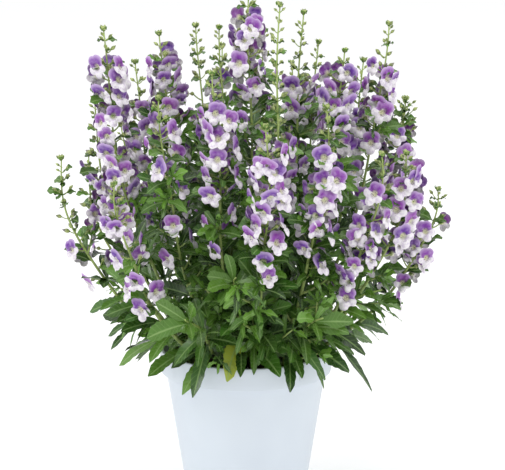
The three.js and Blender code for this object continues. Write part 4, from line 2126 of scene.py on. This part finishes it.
@dataclass
class Pot:
    """The moulded pot, turned from its wall's outline, with its drain holes cut."""

    sizes: PotSizes = POT
    edge: float = 0.7
    foot_edge: float = 2
    step_edge: float = 1.2
    wall_rings: int = 14
    hole_sides: int = 24
    axis: float = 0.01

    def outline(self) -> list[Pair]:
        """Follow the wall, outside from the foot to the rim and then down the inside.

        Returns:
            The outline's points, as radius and height.
        """
        s, low, e = self.sizes, self.sizes.band_low, self.edge
        band, foot = s.rim_radius - s.band_lean, self.foot_edge
        # The underside, the foot's rounded edge and the side.
        points = [(self.axis, 0), (s.foot_radius - foot, 0), (s.foot_radius - 0.6, 0.5)]
        points.append((s.outer_at(foot), foot))
        points += [(s.outer_at(z), z) for z in np.linspace(2 * foot, low - 1, self.wall_rings)]
        # The step out to the rim's band, the band, and the rim's rounded edge.
        points += [(s.outer_at(low) + 0.2, low - 0.3), (band - 1, low), (band - 0.2, low + 0.3)]
        for share in (0, 0.25, 0.5, 0.75, 1):
            points.append((lerp(band, s.rim_radius, share), lerp(low + self.step_edge, s.height - e, share)))
        for angle in map(math.radians, (30, 60, 90)):
            points.append((s.rim_radius - e + e * math.cos(angle), s.height - e + e * math.sin(angle)))
        inner = s.inner_at(s.height)
        for angle in map(math.radians, (0, 30, 60, 90)):
            points.append((inner + e - e * math.sin(angle), s.height - e + e * math.cos(angle)))
        # The inside, with points close together where the wall steps in, and the floor.
        points += [(s.inner_at(z), z) for z in (low + 12, low + 4, low, low - 2, 80, 40, s.floor + 1)]
        return points + [(s.inner_at(s.floor) - 1, s.floor), (self.axis, s.floor)]

    def build(self, finish: bpy.types.Material) -> None:
        """Build and dress the pot.

        Args:
            finish: Its material.
        """
        maker = MeshMaker()
        maker.add_grid(lathe(self.outline(), self.sizes.sides), wrap=True, closed=True)
        pot = maker.finished("pot_moulding", [finish])
        self.cut_holes(pot)
        settle(pot, "pot", "pot")

    def cut_holes(self, pot: bpy.types.Object) -> None:
        """Cut the drain holes through the floor.

        Args:
            pot: The moulding.
        """
        s = self.sizes
        hole = lathe([(s.hole_radius, -1), (s.hole_radius, s.floor + 1)], self.hole_sides)
        maker = MeshMaker()
        for around in even_turns(s.holes):
            middle = np.array([s.hole_ring * math.cos(around), s.hole_ring * math.sin(around), 0])
            maker.add_grid(hole + middle, wrap=True, closed=True)
        cutter = maker.finished("drain_cutter", [])
        cut = pot.modifiers.new("drain_holes", "BOOLEAN")
        cut.object = cutter
        cut.operation = "DIFFERENCE"
        apply_modifiers(pot)
        bpy.data.objects.remove(cutter)


def apply_modifiers(piece: bpy.types.Object) -> None:
    """Make a piece's modifiers part of its mesh.

    Args:
        piece: The piece.
    """
    graph = bpy.context.evaluated_depsgraph_get()
    mesh = bpy.data.meshes.new_from_object(piece.evaluated_get(graph))
    piece.modifiers.clear()
    piece.data = mesh


@dataclass
class Soil:
    """The potting mix: an uneven surface, with crumbs of bark and perlite on it."""

    rings: int = 40
    sides: int = 120
    middle: float = 0.2
    roughness: float = 1.6
    wall_gap: float = 0.3
    crumbs: int = 260
    crumb_sides: int = 6
    crumb_tilts: tuple[float, ...] = (-75, -25, 25, 75)
    crumb_size: Pair = (0.8, 2.3)
    crumb_shape: tuple[Pair, Pair, Pair] = ((0.7, 1.6), (0.7, 1.2), (0.5, 0.9))
    crumb_roughness: Pair = (0.8, 1.2)
    crumb_sunk: float = 0.2
    crumb_wall_gap: float = 3
    perlite_share: float = 0.3

    def height(self, x: Array | float, y: Array | float) -> Array | float:
        """Work out the surface, from long waves and finer ones that nowhere fall in step.

        Args:
            x: How far right each place is.
            y: How far back each place is.

        Returns:
            The surface's height at each place.
        """
        waves = np.sin(x * 0.31 + 1.3) * np.cos(y * 0.27) + 0.6 * np.sin(x * 0.83 + y * 0.61)
        fine = 0.5 * np.sin(x * 1.7 - y * 1.3 + 2) * np.sin(y * 2.1 + x * 0.9)
        return SOIL_TOP + self.roughness * 0.5 * (waves + fine)

    def reach_at(self, z: float) -> float:
        """Return the soil's radius at a height."""
        return POT.inner_at(z) - self.wall_gap

    def build(self, finish: bpy.types.Material, crumb_finish: bpy.types.Material) -> None:
        """Build and dress the potting mix and its crumbs.

        Args:
            finish: The potting mix's material.
            crumb_finish: The crumbs' material.
        """
        outline = [(radius, 0.0) for radius in np.linspace(self.middle, self.reach_at(SOIL_TOP), self.rings)]
        outline += [(self.reach_at(z - 0.01), z) for z in (POT.band_low, POT.floor + self.wall_gap)]
        grid = lathe(outline, self.sides)
        top = grid[: self.rings]
        top[:, :, 2] = self.height(top[:, :, 0], top[:, :, 1])
        maker = MeshMaker()
        maker.add_grid(grid, wrap=True, closed=True)
        settle(maker.finished("potting_mix", [finish]), "soil", "soil")
        self.build_crumbs(crumb_finish)

    def build_crumbs(self, finish: bpy.types.Material) -> None:
        """Scatter crumbs of bark and perlite over the surface.

        Args:
            finish: Their material.
        """
        maker = MeshMaker()
        tilts = [math.radians(tilt) for tilt in self.crumb_tilts]
        ball = lathe([(math.cos(tilt), math.sin(tilt)) for tilt in tilts], self.crumb_sides)
        reach = self.reach_at(SOIL_TOP) - self.crumb_wall_gap
        for i in range(self.crumbs):
            draws = Draws(Topic.CRUMB, i)
            around, out = draws.between(0, FULL_TURN), math.sqrt(draws.between(0, 1)) * reach
            x, y = out * math.cos(around), out * math.sin(around)
            size = draws.between(*self.crumb_size)
            middle = np.array([x, y, self.height(x, y) + size * self.crumb_sunk])
            shape = np.array([draws.between(*limits) for limits in self.crumb_shape])
            rough = [[draws.between(*self.crumb_roughness) for _ in range(self.crumb_sides)] for _ in tilts]
            crumb = middle + ball * np.array(rough)[:, :, None] * size * shape
            perlite = float(draws.chance(self.perlite_share))
            maker.add_grid(crumb, wrap=True, closed=True, tone=perlite)
        settle(maker.finished("soil_crumbs", [finish]), "soil")


@dataclass(frozen=True)
class Lamp:
    """A square lamp: its name, its place and its side in metres, and its power in watts."""

    name: str
    place: tuple[float, float, float]
    side: float
    power: float


@dataclass
class Studio:
    """The pale floor, the soft lights and the camera, with places in metres."""

    lens: float = 135
    sensor: float = 36
    pitch: float = 11.7
    place: tuple[float, float, float] = (0.0057, -1.597, 0.5696)
    floor_reach: float = 9000
    sky: Colour = (0.99, 0.995, 1.0, 1)
    sky_strength: float = 1.01
    aim: tuple[float, float, float] = (0, 0, 0.26)
    lamps: tuple[Lamp, ...] = (
        Lamp("left", (-1.5, -0.5, 1.6), 0.8, 9.0),
        Lamp("right", (1.5, -0.5, 1.6), 0.8, 5.0),
        Lamp("front", (0.1, -1.0, 2.5), 0.7, 8.0),
        Lamp("back", (0.5, 1.6, 1.7), 1.2, 5.0),
    )

    def build(self, floor_finish: bpy.types.Material) -> None:
        """Set up the studio.

        Args:
            floor_finish: The floor's material.
        """
        self.add_camera()
        self.add_floor(floor_finish)
        self.add_lights()
        view = bpy.context.scene.view_settings
        view.view_transform = "Standard"
        view.look = "None"

    def add_camera(self) -> None:
        """Add the camera, at the height and angle that the pot's rim shows."""
        data = bpy.data.cameras.new("camera")
        data.lens = self.lens
        data.sensor_width = self.sensor
        camera = new_object("camera", data)
        camera.location = self.place
        camera.rotation_euler = (math.radians(90 - self.pitch), 0, 0)
        bpy.context.scene.camera = camera

    def add_floor(self, finish: bpy.types.Material) -> None:
        """Add the floor, wide enough to fill every view.

        Args:
            finish: Its material.
        """
        side = np.linspace(-self.floor_reach, self.floor_reach, 3)
        grid = np.stack(np.meshgrid(side, side, [0.0], indexing="ij"), axis=-1)[:, :, 0]
        maker = MeshMaker()
        maker.add_grid(grid)
        floor = maker.finished("studio_floor", [finish])
        floor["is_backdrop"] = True

    def add_lights(self) -> None:
        """Add the soft light all round and the four lamps."""
        world = bpy.data.worlds.new("studio")
        world.use_nodes = True
        sky = world.node_tree.nodes["Background"]
        sky.inputs["Color"].default_value = self.sky
        sky.inputs["Strength"].default_value = self.sky_strength
        bpy.context.scene.world = world
        for lamp in self.lamps:
            data = bpy.data.lights.new(lamp.name, "AREA")
            data.size = lamp.side
            data.energy = lamp.power
            light = new_object(lamp.name, data)
            light.location = lamp.place
            light.rotation_euler = (Vector(self.aim) - Vector(lamp.place)).to_track_quat("-Z", "Y").to_euler()


def main() -> None:
    """Build the studio, the pot, the soil and the plant, in that order."""
    logging.basicConfig(level=logging.INFO, format="%(message)s")
    Studio().build(PaperFinish().made())
    Pot().build(PotFinish().made())
    Soil().build(SoilFinish().made(), CrumbFinish().made())
    makers: dict[Part, Callable[[], bpy.types.Material]] = {
        Part.STEM: StemFinish().made,
        Part.LEAF: LeafFinish().made,
        Part.BUD: BudFinish().made,
        Part.PETAL: PetalFinish().made,
    }
    plant = Plant()
    for what in ("leaves", "blooms", "buds"):
        log.info("%s: %d", what, sum(len(getattr(stem, what)) for stem in plant.stems))
    StemPieces(plant).build({part: make() for part, make in makers.items()})
    boxes = {"cad": cad_box, "visual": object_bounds()}
    {name: [list(map(float, corner)) for corner in box] for name, box in boxes.items()}


if __name__ == "__main__":
    main()
